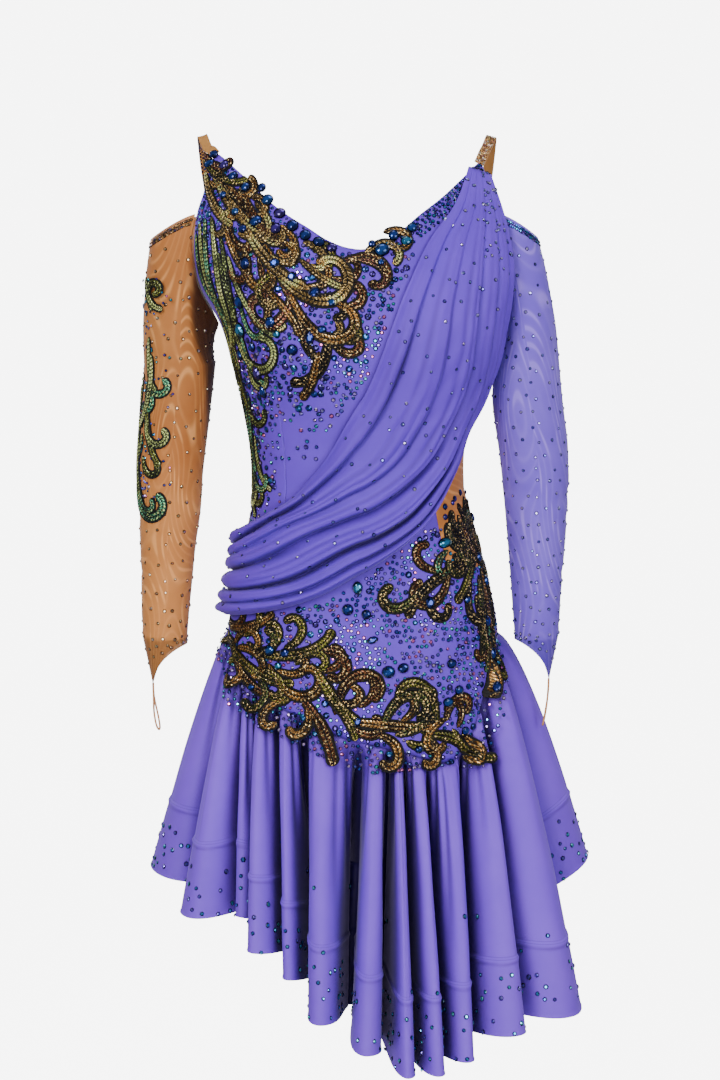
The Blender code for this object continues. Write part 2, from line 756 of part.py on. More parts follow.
def bend(obj, place):
    """Moves a flat applique's points onto the garment with a function of across, up and out."""
    for vert in obj.data.vertices:
        x, y, z = vert.co / MM
        vert.co = place(x, y, z) * MM


def join_scrolls(name, scrolls, place, colour):
    ribbons = [flat_ribbon(f"{name}_scroll_{k}", row, APPLIQUE_WALL)
               for k, row in enumerate(scrolls)]
    whole = ribbons[0]
    for ribbon in ribbons[1:]:
        union = whole.modifiers.new("Union", "BOOLEAN")
        union.operation = "UNION"
        union.solver = "EXACT"
        union.object = ribbon
        apply_modifiers(whole)
    mesh = bmesh.new()
    mesh.from_mesh(whole.data)
    bmesh.ops.triangulate(mesh, faces=[f for f in mesh.faces if len(f.verts) > 4])
    mesh.to_mesh(whole.data)
    mesh.free()
    whole.name = name
    CUTTERS.objects.unlink(whole)
    PARTS.objects.link(whole)
    whole.hide_render = False
    whole.display_type = "TEXTURED"
    whole.data.materials.clear()
    whole.data.materials.append(material(colour))
    bend(whole, place)
    for ribbon in ribbons[1:]:
        bpy.data.objects.remove(ribbon)


def make_appliques():
    arcs = body_arc()

    def onto_body(across, up, out):
        return on_body(angle_of(across, up, arcs), up, out + APPLIQUE_RISE)

    for name, scrolls in SCROLLS.items():
        join_scrolls(name, scrolls, onto_body, "olive" if name == "applique_side" else "gold")

    def onto_arm(around, up, out):
        turn = 90 - math.degrees(around / 37.0)
        here = arm_ring(SLEEVE_RIGHT, -1, up, turn)
        x, y = smooth(SLEEVE_RIGHT, up, 1), smooth(SLEEVE_RIGHT, up, 2)
        outward = Vector((here.x - x, here.y - y, 0)).normalized()
        return here + outward * (out + APPLIQUE_RISE + 0.3)

    join_scrolls("applique_sleeve", ARM_SCROLLS, onto_arm, "olive")


def make_collection(name, hidden):
    made = bpy.data.collections.new(name)
    bpy.context.scene.collection.children.link(made)
    made.hide_render = hidden
    return made


for old in list(bpy.data.objects):
    bpy.data.objects.remove(old, do_unlink=True)
PARTS = make_collection(COLLECTION, False)
CUTTERS = make_collection("Cutters", True)

make_body()
make_sash()
make_strap("strap_right", -1)
make_strap("strap_left", 1)
make_sleeve("sleeve_right", -1, SLEEVE_RIGHT, "skin_mesh")
make_sleeve("sleeve_left", 1, SLEEVE_LEFT, "violet_mesh")
make_loop("finger_loop_right", -1, SLEEVE_RIGHT)
make_loop("finger_loop_left", 1, SLEEVE_LEFT)
make_skirt()
make_appliques()
print("parts:", sorted(o.name for o in PARTS.objects))
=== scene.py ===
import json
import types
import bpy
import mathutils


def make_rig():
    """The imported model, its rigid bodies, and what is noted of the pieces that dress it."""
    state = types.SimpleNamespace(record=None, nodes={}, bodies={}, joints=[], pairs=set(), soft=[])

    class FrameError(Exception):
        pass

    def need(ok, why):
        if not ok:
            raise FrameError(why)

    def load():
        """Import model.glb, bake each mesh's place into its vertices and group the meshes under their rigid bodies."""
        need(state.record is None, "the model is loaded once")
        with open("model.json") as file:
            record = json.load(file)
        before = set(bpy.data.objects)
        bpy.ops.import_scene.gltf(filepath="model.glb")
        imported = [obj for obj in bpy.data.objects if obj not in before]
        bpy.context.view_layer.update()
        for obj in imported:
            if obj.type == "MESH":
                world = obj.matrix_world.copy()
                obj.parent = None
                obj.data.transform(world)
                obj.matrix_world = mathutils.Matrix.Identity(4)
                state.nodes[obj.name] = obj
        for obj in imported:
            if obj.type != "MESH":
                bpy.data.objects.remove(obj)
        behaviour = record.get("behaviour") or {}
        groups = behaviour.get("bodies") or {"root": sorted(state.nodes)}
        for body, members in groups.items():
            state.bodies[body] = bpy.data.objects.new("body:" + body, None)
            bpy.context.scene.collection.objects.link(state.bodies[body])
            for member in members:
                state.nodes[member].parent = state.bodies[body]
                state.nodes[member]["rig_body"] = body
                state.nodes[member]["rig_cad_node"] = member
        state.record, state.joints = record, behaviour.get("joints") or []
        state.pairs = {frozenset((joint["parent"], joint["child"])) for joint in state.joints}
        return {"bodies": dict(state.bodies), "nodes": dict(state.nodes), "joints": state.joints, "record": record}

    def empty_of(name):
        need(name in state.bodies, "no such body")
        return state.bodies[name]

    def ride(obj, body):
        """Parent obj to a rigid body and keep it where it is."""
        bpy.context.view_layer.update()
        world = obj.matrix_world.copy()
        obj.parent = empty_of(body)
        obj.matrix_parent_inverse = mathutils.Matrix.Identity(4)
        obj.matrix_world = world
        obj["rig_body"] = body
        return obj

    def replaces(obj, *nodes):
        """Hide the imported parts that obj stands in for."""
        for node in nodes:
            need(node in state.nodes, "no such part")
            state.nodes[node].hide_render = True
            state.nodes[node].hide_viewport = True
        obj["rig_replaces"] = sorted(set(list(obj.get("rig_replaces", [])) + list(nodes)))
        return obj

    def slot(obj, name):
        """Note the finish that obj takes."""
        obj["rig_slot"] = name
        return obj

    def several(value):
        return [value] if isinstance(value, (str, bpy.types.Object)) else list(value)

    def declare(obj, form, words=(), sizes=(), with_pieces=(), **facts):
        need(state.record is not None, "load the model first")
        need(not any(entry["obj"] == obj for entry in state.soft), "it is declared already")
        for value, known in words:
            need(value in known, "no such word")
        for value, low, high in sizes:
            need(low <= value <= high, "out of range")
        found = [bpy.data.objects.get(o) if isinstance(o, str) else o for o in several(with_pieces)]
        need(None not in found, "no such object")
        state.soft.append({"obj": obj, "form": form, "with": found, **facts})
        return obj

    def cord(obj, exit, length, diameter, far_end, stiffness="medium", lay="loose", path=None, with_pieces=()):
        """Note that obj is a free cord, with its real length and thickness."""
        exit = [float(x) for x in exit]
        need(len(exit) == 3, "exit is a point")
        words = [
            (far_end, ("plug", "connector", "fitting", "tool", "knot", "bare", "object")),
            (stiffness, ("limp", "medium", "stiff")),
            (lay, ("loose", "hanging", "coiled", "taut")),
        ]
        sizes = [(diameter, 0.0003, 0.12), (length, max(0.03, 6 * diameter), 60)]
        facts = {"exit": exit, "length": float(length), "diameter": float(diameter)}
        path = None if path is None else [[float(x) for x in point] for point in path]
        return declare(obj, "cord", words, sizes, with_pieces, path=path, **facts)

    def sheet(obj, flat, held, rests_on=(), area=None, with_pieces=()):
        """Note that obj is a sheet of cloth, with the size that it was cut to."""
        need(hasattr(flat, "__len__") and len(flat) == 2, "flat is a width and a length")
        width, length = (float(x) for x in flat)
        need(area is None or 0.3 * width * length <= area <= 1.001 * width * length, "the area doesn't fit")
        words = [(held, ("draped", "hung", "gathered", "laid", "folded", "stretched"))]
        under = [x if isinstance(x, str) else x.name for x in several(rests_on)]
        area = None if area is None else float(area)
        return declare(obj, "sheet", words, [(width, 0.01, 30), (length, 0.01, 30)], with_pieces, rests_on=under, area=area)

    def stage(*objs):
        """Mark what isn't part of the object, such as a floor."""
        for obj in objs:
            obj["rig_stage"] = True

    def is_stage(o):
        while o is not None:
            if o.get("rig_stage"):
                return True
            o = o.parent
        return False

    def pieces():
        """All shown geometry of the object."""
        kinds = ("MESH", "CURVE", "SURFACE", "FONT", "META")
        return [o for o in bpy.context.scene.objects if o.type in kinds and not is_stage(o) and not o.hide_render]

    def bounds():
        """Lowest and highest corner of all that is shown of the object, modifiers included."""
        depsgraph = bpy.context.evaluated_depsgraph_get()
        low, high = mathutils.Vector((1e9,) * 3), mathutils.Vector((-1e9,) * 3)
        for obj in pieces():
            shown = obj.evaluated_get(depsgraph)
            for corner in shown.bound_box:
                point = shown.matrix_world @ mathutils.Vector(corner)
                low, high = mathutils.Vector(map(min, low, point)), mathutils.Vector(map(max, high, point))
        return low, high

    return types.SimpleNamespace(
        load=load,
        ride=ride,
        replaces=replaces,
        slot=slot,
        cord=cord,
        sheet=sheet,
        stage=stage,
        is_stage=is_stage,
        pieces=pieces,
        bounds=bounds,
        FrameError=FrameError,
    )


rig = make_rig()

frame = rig.load()
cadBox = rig.bounds()

import json
import math
from functools import partial

import bmesh
import bpy
import numpy as np
from mathutils import Vector
from mathutils.kdtree import KDTree

# Salsa dance dress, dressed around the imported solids. Tables are in mm and degrees: an angle on
# the body is 0 at centre front, +90 at the wearer's left side, 180 at centre back.
mm = 0.001
rand = np.random.default_rng(41)
sideName = {-1: "right", 1: "left"}


# numbers
def smooth(table, x, column=1):
    rows = np.array(sorted(table), float)
    xs, ys = rows[:, 0], rows[:, column]
    slope = np.empty_like(ys)
    slope[1:-1] = (ys[2:] - ys[:-2]) / (xs[2:] - xs[:-2])
    slope[0] = (ys[1] - ys[0]) / (xs[1] - xs[0])
    slope[-1] = (ys[-1] - ys[-2]) / (xs[-1] - xs[-2])
    x = np.clip(np.asarray(x, float), xs[0], xs[-1])
    k = np.clip(np.searchsorted(xs, x, side="right") - 1, 0, len(xs) - 2)
    h = xs[k + 1] - xs[k]
    t = (x - xs[k]) / h
    return ((2 * t ** 3 - 3 * t * t + 1) * ys[k] + (t ** 3 - 2 * t * t + t) * h * slope[k]
            + (3 * t * t - 2 * t ** 3) * ys[k + 1] + (t ** 3 - t * t) * h * slope[k + 1])


def mix(a, b, t):
    return a + (b - a) * t


def step01(x, low, high):
    t = np.clip((x - low) / (high - low), 0, 1)
    return t * t * (3 - 2 * t)


def between(table, row, column):
    # the value of a table in between its rows and columns
    row = np.clip(row, 0, len(table) - 1.001)
    column = np.clip(column, 0, table.shape[1] - 1.001)
    i, j = row.astype(int), column.astype(int)
    low = mix(table[i, j], table[i, j + 1], column - j)
    high = mix(table[i + 1, j], table[i + 1, j + 1], column - j)
    return mix(low, high, row - i)


def power(value, exponent):
    return np.sign(value) * np.abs(value) ** exponent


def hill(x, width):
    return np.exp(-(x / width) ** 2)


def sinCos(degrees):
    return np.sin(np.radians(degrees)), np.cos(np.radians(degrees))


def wrapped(degrees):
    return (degrees + 180) % 360 - 180


def unit(v):
    return v / np.maximum(np.linalg.norm(v, axis=-1, keepdims=True), 1e-9)


def creases(rows, a, b):
    # soft troughs (or ridges, with a negative depth) on a cloth laid flat, in mm
    total = np.zeros(np.broadcast(a, b).shape)
    for a0, b0, heading, length, depth, width, bow in rows:
        c, s = math.cos(math.radians(heading)), math.sin(math.radians(heading))
        along = ((a - a0) * c + (b - b0) * s) / (length / 2)
        off = (-(a - a0) * s + (b - b0) * c) / width - bow * along ** 2
        total -= depth * np.exp(-off ** 2) * np.clip(1 - along ** 2, 0, 1) ** 1.5
    return total


# the body's surface
body = {
    "power": 0.86,
    # z, centre, half width, front depth, back depth
    "sections": [
        (20, -14, 150, 10, 24), (0, -14, 156, 24, 36), (-40, -14, 163, 56, 64),
        (-85, -13, 169, 84, 84), (-125, -11, 171, 102, 92), (-160, -8, 166, 112, 95),
        (-200, -2, 150, 116, 93), (-240, 0, 140, 112, 88), (-280, 0, 129.5, 104, 82),
        (-320, -2, 119, 96, 77), (-360, -2, 115.5, 91, 76), (-400, 0, 119, 92, 82),
        (-440, 2, 128, 95, 92), (-480, 3, 138, 99, 102), (-520, 3, 147, 104, 108),
        (-560, 3, 151, 107, 111), (-620, 3, 154, 109, 112), (-700, 3, 155, 109, 112),
    ],
    "cup": {"angle": 30, "z": -222, "spread": 17, "height": 48, "rise": 8},
    "frontNeck": [
        (-61, -19), (-56, -20), (-46, -32), (-35, -50), (-26, -70), (-18, -86), (-11, -99),
        (-5, -112), (2, -121), (8, -116), (15, -103), (23, -85), (33, -67), (44, -48), (57, -30),
        (62, -29),
    ],
    "backNeck": [
        (108, -83), (115, -86), (121, -92), (126, -98), (135, -128), (148, -190), (162, -245),
        (180, -268),
    ],
    # z, angle of the armhole's front edge
    "armhole": [
        (-19, 61), (-29, 62), (-63, 66.5), (-83, 72), (-105, 74.5), (-130, 77), (-155, 80),
        (-180, 84.5), (-200, 90),
    ],
    "armTop": -83, "underarm": -200, "waist": -372,
    # angle, z of the seam with the skirt
    "skirtSeam": [
        (-180, -575), (-150, -560), (-120, -538), (-90, -532), (-73, -554), (-62, -575),
        (-50, -590), (-38, -600), (-27, -612), (-19, -620), (-10, -632), (-3, -640), (5, -647),
        (16, -656), (28, -665), (36, -665), (44, -650), (53, -612), (63, -574), (74, -551),
        (90, -538), (120, -540), (150, -560), (180, -575),
    ],
    "princessRight": -39, "princessLeft": 40, "insertTop": -285, "insertBottom": -462,
    "seam": 0.02, "seamDip": 0.55, "dipWidth": 1.1,
    # mm between the points across a panel, and their places close by a seam
    "pitch": 4.0, "nearSeam": [0.0, 0.7, 1.5, 2.6, 4.5], "seamRoom": 7.5,
    # mm round the body from centre front, z, heading, length, depth, width, bow
    "creases": [
        (-52, -330, 12, 120, 0.9, 8, 0.3), (-60, -372, -8, 140, 1.1, 9, -0.4),
        (-120, -352, 4, 110, 1.0, 8, 0.5), (-150, -300, 24, 90, 0.8, 7, 0.2),
        (-34, -292, 60, 90, 0.6, 8, 0.3), (60, -560, 14, 110, 0.7, 10, 0.4),
        (110, -528, 30, 80, 0.7, 8, -0.3), (40, -500, -20, 90, 0.5, 9, 0.2),
        (200, -380, 6, 120, 1.1, 9, 0.4), (-230, -380, -6, 130, 1.2, 9, 0.5),
        (300, -372, 10, 150, 1.4, 10, 0.6), (380, -398, -6, 170, 1.3, 11, -0.4),
        (-320, -366, -10, 150, 1.3, 10, -0.5), (330, -330, -16, 120, 1.0, 9, 0.3),
        (-300, -440, 8, 120, 0.9, 10, 0.4), (390, -450, 4, 130, 0.9, 10, -0.3),
        (-210, -250, -38, 90, 0.9, 8, 0.3), (215, -240, 36, 90, 0.9, 8, 0.3),
    ],
    "mmPerDegree": 2.15,
}


def bodySection(angle, z):
    centre, half, front, back = (smooth(body["sections"], z, k) for k in (1, 2, 3, 4))
    s, c = sinCos(angle)
    depth = np.where(c > 0, front, back)
    x, y = centre + half * power(s, body["power"]), -depth * power(c, body["power"])
    return np.stack(np.broadcast_arrays(x, y, z + 0.0 * x), -1)


def bodyNormal(angle, z):
    across = bodySection(angle + 2, z) - bodySection(angle - 2, z)
    down = bodySection(angle, z - 4) - bodySection(angle, z + 4)
    return unit(np.cross(down, across))


def cupRise(angle, z):
    cup = body["cup"]
    height = ((z - cup["z"]) / cup["height"]) ** 2
    return sum(cup["rise"] * np.exp(
        -((wrapped(angle) - side * cup["angle"]) / cup["spread"]) ** 2 - height)
        for side in sideName)


def onBody(angle, z, out=0.0):
    angle, z = np.asarray(angle, float), np.asarray(z, float)
    rise = (out + cupRise(angle, z))[..., None]
    return bodySection(angle, z) + bodyNormal(angle, z) * rise


def seamTurn(angle, z, gap):
    arc = np.linalg.norm(bodySection(angle + 1, z) - bodySection(angle - 1, z), axis=-1) / 2
    return gap / arc


def seamZ(angle):
    return smooth(body["skirtSeam"], wrapped(np.asarray(angle, float)))


def frontNeck(angle):
    return smooth(body["frontNeck"], angle)


# arc length round the body from centre front, so that patterns can be laid out flat
arcRow, arcStep = 10, 4  # mm from one height to the next, and along a height
arcHeights = np.arange(-720, 1, arcRow)
arcAngles = np.arange(0, 181, 3)
arcGrid = onBody(arcAngles[None, :], arcHeights[:, None])
arcTable = np.concatenate([np.zeros((len(arcHeights), 1)), np.cumsum(
    np.linalg.norm(np.diff(arcGrid, axis=1), axis=-1), axis=1)], axis=1)

arcSteps = np.arange(0, 521, arcStep)
turnGrid = np.array([np.interp(arcSteps, row, arcAngles) for row in arcTable])


def angleOf(across, z):
    across, z = np.broadcast_arrays(np.asarray(across, float), np.asarray(z, float))
    turn = between(turnGrid, (z - arcHeights[0]) / arcRow, np.abs(across) / arcStep)
    return np.copysign(turn, across)


# effects that several materials share
def setSocket(tree, socket, value):
    if isinstance(value, bpy.types.NodeSocket):
        tree.links.new(value, socket)
    else:
        socket.default_value = value


def setInputs(tree, node, **values):
    for key, value in values.items():
        setSocket(tree, node.inputs[key.replace("_", " ")], value)


def addNode(tree, kind, **inputs):
    node = tree.nodes.new(kind)
    setInputs(tree, node, **inputs)
    return node


def mathNode(tree, operation, *values):
    node = tree.nodes.new("ShaderNodeMath")
    node.operation = operation
    for socket, value in zip(node.inputs, values):
        setSocket(tree, socket, value)
    return node.outputs[0]


def colourMix(tree, share, first, second):
    node = tree.nodes.new("ShaderNodeMix")
    node.data_type = "RGBA"
    for index, value in ((0, share), (6, first), (7, second)):
        setSocket(tree, node.inputs[index], value)
    return node.outputs[2]


def noise(tree, where, scale, **values):
    return addNode(tree, "ShaderNodeTexNoise", Vector=where, Scale=scale, **values).outputs["Fac"]


def attribute(tree, name, output="Fac"):
    node = tree.nodes.new("ShaderNodeAttribute")
    node.attribute_name = name
    return node.outputs[output]


def newGroup(name, inputs, outputs):
    # an input without a value is always linked
    tree = bpy.data.node_groups.new(name, "ShaderNodeTree")
    for label, value in inputs.items():
        socket = tree.interface.new_socket(label, in_out="INPUT", socket_type="NodeSocketFloat")
        if value is not None:
            socket.default_value = value
    for label in outputs:
        tree.interface.new_socket(label, in_out="OUTPUT", socket_type="NodeSocketFloat")
    given = tree.nodes.new("NodeGroupInput").outputs
    return tree, partial(mathNode, tree), given, tree.nodes.new("NodeGroupOutput")


def makeClothGroup():
    # crepe grain, soft wear and uneven dye, from the piece's own position
    tree, calc, given, out = newGroup(
        "clothGrain", {"Grain": 900.0, "Mottle": 9.0, "Shade": 0.12}, ("Height", "Mask"))
    where = addNode(tree, "ShaderNodeTexCoord").outputs["Object"]
    slub = addNode(tree, "ShaderNodeTexVoronoi", Vector=where, Scale=given["Grain"])
    height = calc("MULTIPLY_ADD", slub.outputs["Distance"], 0.5,
                  noise(tree, where, given["Grain"], Detail=2.0, Roughness=0.6))
    broad = noise(tree, where, given["Mottle"], Detail=4.0, Roughness=0.62)
    spread = calc("SUBTRACT", calc("MULTIPLY_ADD", broad, 2.4, -0.7), 0.5)
    setInputs(tree, out, Height=height,
              Mask=calc("ADD", calc("MULTIPLY", spread, given["Shade"]), 0.5))
    return tree


def makeStitchGroup():
    # rows of machine stitches that run along U, at a height V; V is measured from the edge
    tree, calc, given, out = newGroup(
        "stitchRows", {"U": None, "V": None, "Low": 0.075, "Spacing": 0.0035, "Rows": 3.0,
                       "Width": 0.0005}, ("Mask",))
    up = calc("DIVIDE", calc("SUBTRACT", given["V"], given["Low"]), given["Spacing"])
    inRows = calc("MULTIPLY", calc("GREATER_THAN", up, -0.5),
                  calc("LESS_THAN", up, calc("SUBTRACT", given["Rows"], 0.5)))
    off = calc("ABSOLUTE", calc("SUBTRACT", up, calc("ROUND", up)))
    near = calc("LESS_THAN", calc("MULTIPLY", off, given["Spacing"]), given["Width"])
    stitch, shown = 0.0032, 0.78  # metres from one stitch to the next, and the share of thread
    dash = calc("LESS_THAN", calc("FRACT", calc("DIVIDE", given["U"], stitch)), shown)
    setInputs(tree, out, Mask=calc("MULTIPLY", calc("MULTIPLY", inRows, near), dash))
    return tree


def makeNetGroup():
    # the broad moire that two layers of fine net make, and the net's own small holes
    tree, calc, given, out = newGroup(
        "netMoire", {"U": None, "V": None, "Band": 60.0, "Warp": 1.6}, ("Moire", "Holes"))
    flat = addNode(tree, "ShaderNodeCombineXYZ", X=given["U"],
                   Y=calc("MULTIPLY", given["V"], 0.42))
    bend = noise(tree, flat.outputs[0], 13.0, Detail=0.0)

    def wave(way, times, warp):
        run = calc("MULTIPLY", given[way], calc("MULTIPLY", given["Band"], times))
        return calc("SINE", calc("ADD", run, calc("MULTIPLY", bend, warp)))

    first = wave("U", 3.0, calc("MULTIPLY", given["Warp"], 112.0))
    patch = calc("MAXIMUM", wave("V", 1.3, 34.0), 0.22)
    line = calc("POWER", calc("MULTIPLY_ADD", first, 0.5, 0.5), 4.0)
    holes = 2600.0  # radians a metre, which is a hole every 1.2 mm
    cells = [calc("ABSOLUTE", calc("SINE", calc("MULTIPLY", given[way], holes)))
             for way in ("U", "V")]
    setInputs(tree, out, Moire=calc("MULTIPLY", line, patch), Holes=calc("MULTIPLY", *cells))
    return tree


scrollStep = 0.00175  # metres between two rows of points along a scroll


def makeSequinGroup():
    # rows of sequins across a ribbon: U runs across it from 0 to 1, V along it in metres
    tree, calc, given, out = newGroup(
        "sequinRows", {"U": None, "V": None, "Pitch": 0.0024}, ("Rib", "Edge", "Toned", "Bright"))
    fromMiddle = calc("ABSOLUTE", calc("SUBTRACT", given["U"], 0.5))
    slanted = calc("ADD", given["V"], calc("MULTIPLY", fromMiddle, 0.006))
    # 1 in the dip between two rows of sequins, 0 on each row
    rib = calc("FRACT", calc("DIVIDE", slanted, given["Pitch"]))
    rib = calc("SUBTRACT", 1.0, calc("ABSOLUTE", calc("MULTIPLY_ADD", rib, 2.0, -1.0)))
    border, core = 0.37, 0.06  # a ribbon is dark past the one, and within the other
    edge = calc("MAXIMUM", calc("GREATER_THAN", fromMiddle, border),
                calc("LESS_THAN", fromMiddle, core))
    where = addNode(tree, "ShaderNodeTexCoord").outputs["Object"]
    # the last output picks single sequins at random to be painted bright, as glints
    setInputs(tree, out, Rib=rib, Edge=edge,
              Toned=calc("MULTIPLY_ADD", noise(tree, where, 34.0, Detail=2.0), 3.0, -1.0),
              Bright=calc("MULTIPLY_ADD", noise(tree, where, 420.0, Detail=0.0), 9.0, -5.0))
    return tree


groups = {"cloth": makeClothGroup(), "stitch": makeStitchGroup(), "net": makeNetGroup(),
          "sequin": makeSequinGroup()}


# materials
def newMaterial(name, **values):
    mat = bpy.data.materials.new(name)
    mat.use_nodes = True
    tree = mat.node_tree
    shader = tree.nodes["Principled BSDF"]
    setInputs(tree, shader, **values)
    return mat, tree, shader, partial(mathNode, tree)


def placeGroup(tree, name, **inputs):
    node = tree.nodes.new("ShaderNodeGroup")
    node.node_tree = groups[name]
    setInputs(tree, node, **inputs)
    return node.outputs


def flatPlace(tree):
    # where a point lies on the cloth or ribbon laid flat
    uv = tree.nodes.new("ShaderNodeUVMap")
    uv.uv_map = "flat"
    split = addNode(tree, "ShaderNodeSeparateXYZ", Vector=uv.outputs[0]).outputs
    return {"U": split[0], "V": split[1]}


def addBump(tree, shader, height, strength, distance, under=None):
    bump = addNode(tree, "ShaderNodeBump", Strength=strength, Distance=distance, Height=height)
    if under is not None:
        setInputs(tree, bump, Normal=under)
    setInputs(tree, shader, Normal=bump.outputs[0])
    return bump.outputs[0]


def clothMaterial(name, light, dark, stitches=None, deep=None):
    mat, tree, shader, calc = newMaterial(
        name, Roughness=0.62, Specular_IOR_Level=0.35, Sheen_Weight=0.35, Sheen_Roughness=0.35,
        Sheen_Tint=(0.62, 0.52, 1.0, 1.0))
    grain = placeGroup(tree, "cloth", Grain=1100.0, Mottle=8.0, Shade=0.5)
    colour = colourMix(tree, grain["Mask"], dark, light)
    under = None
    if stitches:
        rows = placeGroup(tree, "stitch", **flatPlace(tree), **stitches["rows"])
        colour = colourMix(tree, rows["Mask"], colour, stitches["thread"])
        under = addBump(tree, shader, rows["Mask"], 0.6, 0.0006)
    if deep:
        # painted shade in the creases and grooves, as the piece's attribute gives it
        crease = calc("MULTIPLY", attribute(tree, "crease"), 0.85)
        colour = colourMix(tree, crease, colour, deep)
        # painted shade: darker where folds lie against each other, the more closed in a point is
        near = addNode(tree, "ShaderNodeAmbientOcclusion", Distance=0.04)
        near.samples = 6
        paintedShade = calc("MULTIPLY_ADD", near.outputs["AO"], -2.1, 1.42)
        colour = colourMix(tree, paintedShade, colour, deep)
    setInputs(tree, shader, Base_Color=colour)
    addBump(tree, shader, grain["Height"], 0.16, 0.0004, under)
    return mat


def netMaterial(name, light, dark, alpha, warp, deep):
    mat, tree, shader, calc = newMaterial(name, Roughness=0.7, Specular_IOR_Level=0.25,
                                          Sheen_Weight=0.25, Sheen_Roughness=0.4)
    net = placeGroup(tree, "net", **flatPlace(tree), Band=60.0, Warp=warp)
    grain = placeGroup(tree, "cloth", Grain=1500.0, Mottle=7.0, Shade=0.4)
    share = calc("ADD", calc("MULTIPLY", net["Moire"], 0.85),
                 calc("SUBTRACT", grain["Mask"], 0.12))
    # painted shade, and the darker double net at the cuff, as the piece's attribute gives them
    crease = calc("MULTIPLY", attribute(tree, "crease"), 0.9)
    colour = colourMix(tree, crease, colourMix(tree, share, dark, light), deep)
    setInputs(tree, shader, Base_Color=colour, Alpha=calc(
        "MULTIPLY_ADD", net["Holes"], -(1 - alpha) * 1.6, 1 - (1 - alpha) * 0.35))
    addBump(tree, shader, net["Holes"], 0.2, 0.0003)
    return mat


def sequinMaterial(name, glintTone, edgeTone, metal, dull):
    # the ribbon's own tone, with painted light along it, comes from its colour attribute
    mat, tree, shader, calc = newMaterial(name, Specular_IOR_Level=0.4)
    rows = placeGroup(tree, "sequin", **flatPlace(tree), Pitch=2 * scrollStep)
    tint = attribute(tree, "sequinTint", "Color")
    colour = colourMix(tree, rows["Toned"], tint, colourMix(tree, dull, tint, edgeTone))
    # painted glints on single sequins, then the dips between the rows and the edge cords in the dark tone
    for share, over in ((calc("MULTIPLY", rows["Bright"], 0.8), glintTone),
                        (calc("MULTIPLY", calc("GREATER_THAN", rows["Rib"], 0.56), 0.85), edgeTone),
                        (rows["Edge"], edgeTone)):
        colour = colourMix(tree, share, colour, over)
    setInputs(tree, shader, Base_Color=colour,
              Roughness=calc("MULTIPLY_ADD", rows["Edge"], 0.4, 0.26),
              Metallic=calc("MULTIPLY_ADD", rows["Edge"], 0.05 - metal, metal))
    addBump(tree, shader, calc("SUBTRACT", 1.0, rows["Rib"]), 0.6, 0.0007)
    return mat


def stoneMaterial(name, roughness, metallic):
    mat, tree, shader, _ = newMaterial(name, Roughness=roughness, Metallic=metallic,
                                       Coat_Weight=0.35, Coat_Roughness=0.02, IOR=1.6)
    setInputs(tree, shader, Base_Color=attribute(tree, "stoneTint", "Color"))
    return mat


def tone(r, g, b):
    # a colour as it is picked, from 0 to 255
    return tuple((c / 255) ** 2.2 for c in (r, g, b)) + (1.0,)


hemStitches = {"rows": {"Low": 0.0785, "Spacing": 0.0030, "Rows": 2.0, "Width": 0.0004},
               "thread": tone(108, 68, 210)}
finishes = {
    # a light and a dark tone, then the maker's own values. The crepe of the bodice and sash and the crepe of the skirt
    # are one cloth in a darker and a lighter copy, as painted shade and painted light; a sequin finish's light tone is
    # its painted glint, and the last tone of the violet cloths and the nets is the colour of their painted shade, on
    # the nets also of the double net at the cuff
    "violetCrepe": (clothMaterial, tone(120, 74, 232), tone(92, 52, 200), None, tone(30, 14, 74)),
    "violetSkirt": (clothMaterial, tone(142, 90, 248), tone(116, 68, 226), hemStitches,
                    tone(30, 14, 74)),
    "violetNet": (netMaterial, tone(162, 130, 255), tone(102, 68, 218), 0.93, 1.2,
                  tone(60, 40, 150)),
    "skinNet": (netMaterial, tone(252, 172, 98), tone(178, 97, 40), 0.90, 1.7, tone(40, 18, 10)),
    "goldSequins": (sequinMaterial, tone(255, 216, 142), tone(14, 11, 13), 0.6, 0.5),
    "oliveSequins": (sequinMaterial, tone(228, 246, 150), tone(14, 18, 16), 0.3, 0.3),
    "strapCloth": (clothMaterial, tone(206, 150, 82), tone(160, 106, 52)),
    "stones": (stoneMaterial, 0.08, 0.8),
    "elastic": (clothMaterial, tone(226, 166, 112), tone(196, 132, 84)),
}
materials = {name: maker(name, *values) for name, (maker, *values) in finishes.items()}
print("materials ready")


# new objects
def newObject(name, data):
    obj = bpy.data.objects.new(name, data)
    bpy.context.scene.collection.objects.link(obj)
    return obj


def meshObject(name, points, faces, material):
    # points in mm
    mesh = bpy.data.meshes.new(name)
    mesh.from_pydata((np.asarray(points) * mm).tolist(), [], faces)
    mesh.materials.append(material)
    return newObject(name, mesh)


def pickOnly(obj):
    bpy.ops.object.select_all(action="DESELECT")
    bpy.context.view_layer.objects.active = obj
    obj.select_set(True)


def fillLayer(layer, key, values):
    layer.data.foreach_set(key, np.asarray(values, np.float32).ravel())


# cloth sheets from grids of points
def creaseShade(grid, reach, depth):
    # how far each point lies below its neighbours along the row, from 0 to 1; it sets the painted shade in the creases
    across = np.gradient(grid, axis=1)
    normal = unit(np.cross(across, np.gradient(grid, axis=0)))
    padded = np.pad(grid, ((0, 0), (reach, reach), (0, 0)), mode="edge")
    total = np.cumsum(np.concatenate([np.zeros_like(padded[:, :1]), padded], axis=1), axis=1)
    wide = 2 * reach + 1
    mean = (total[:, wide:] - total[:, :-wide]) / wide
    sunk = ((grid - mean) * normal).sum(-1)
    return np.clip(sunk / depth, 0, 1)


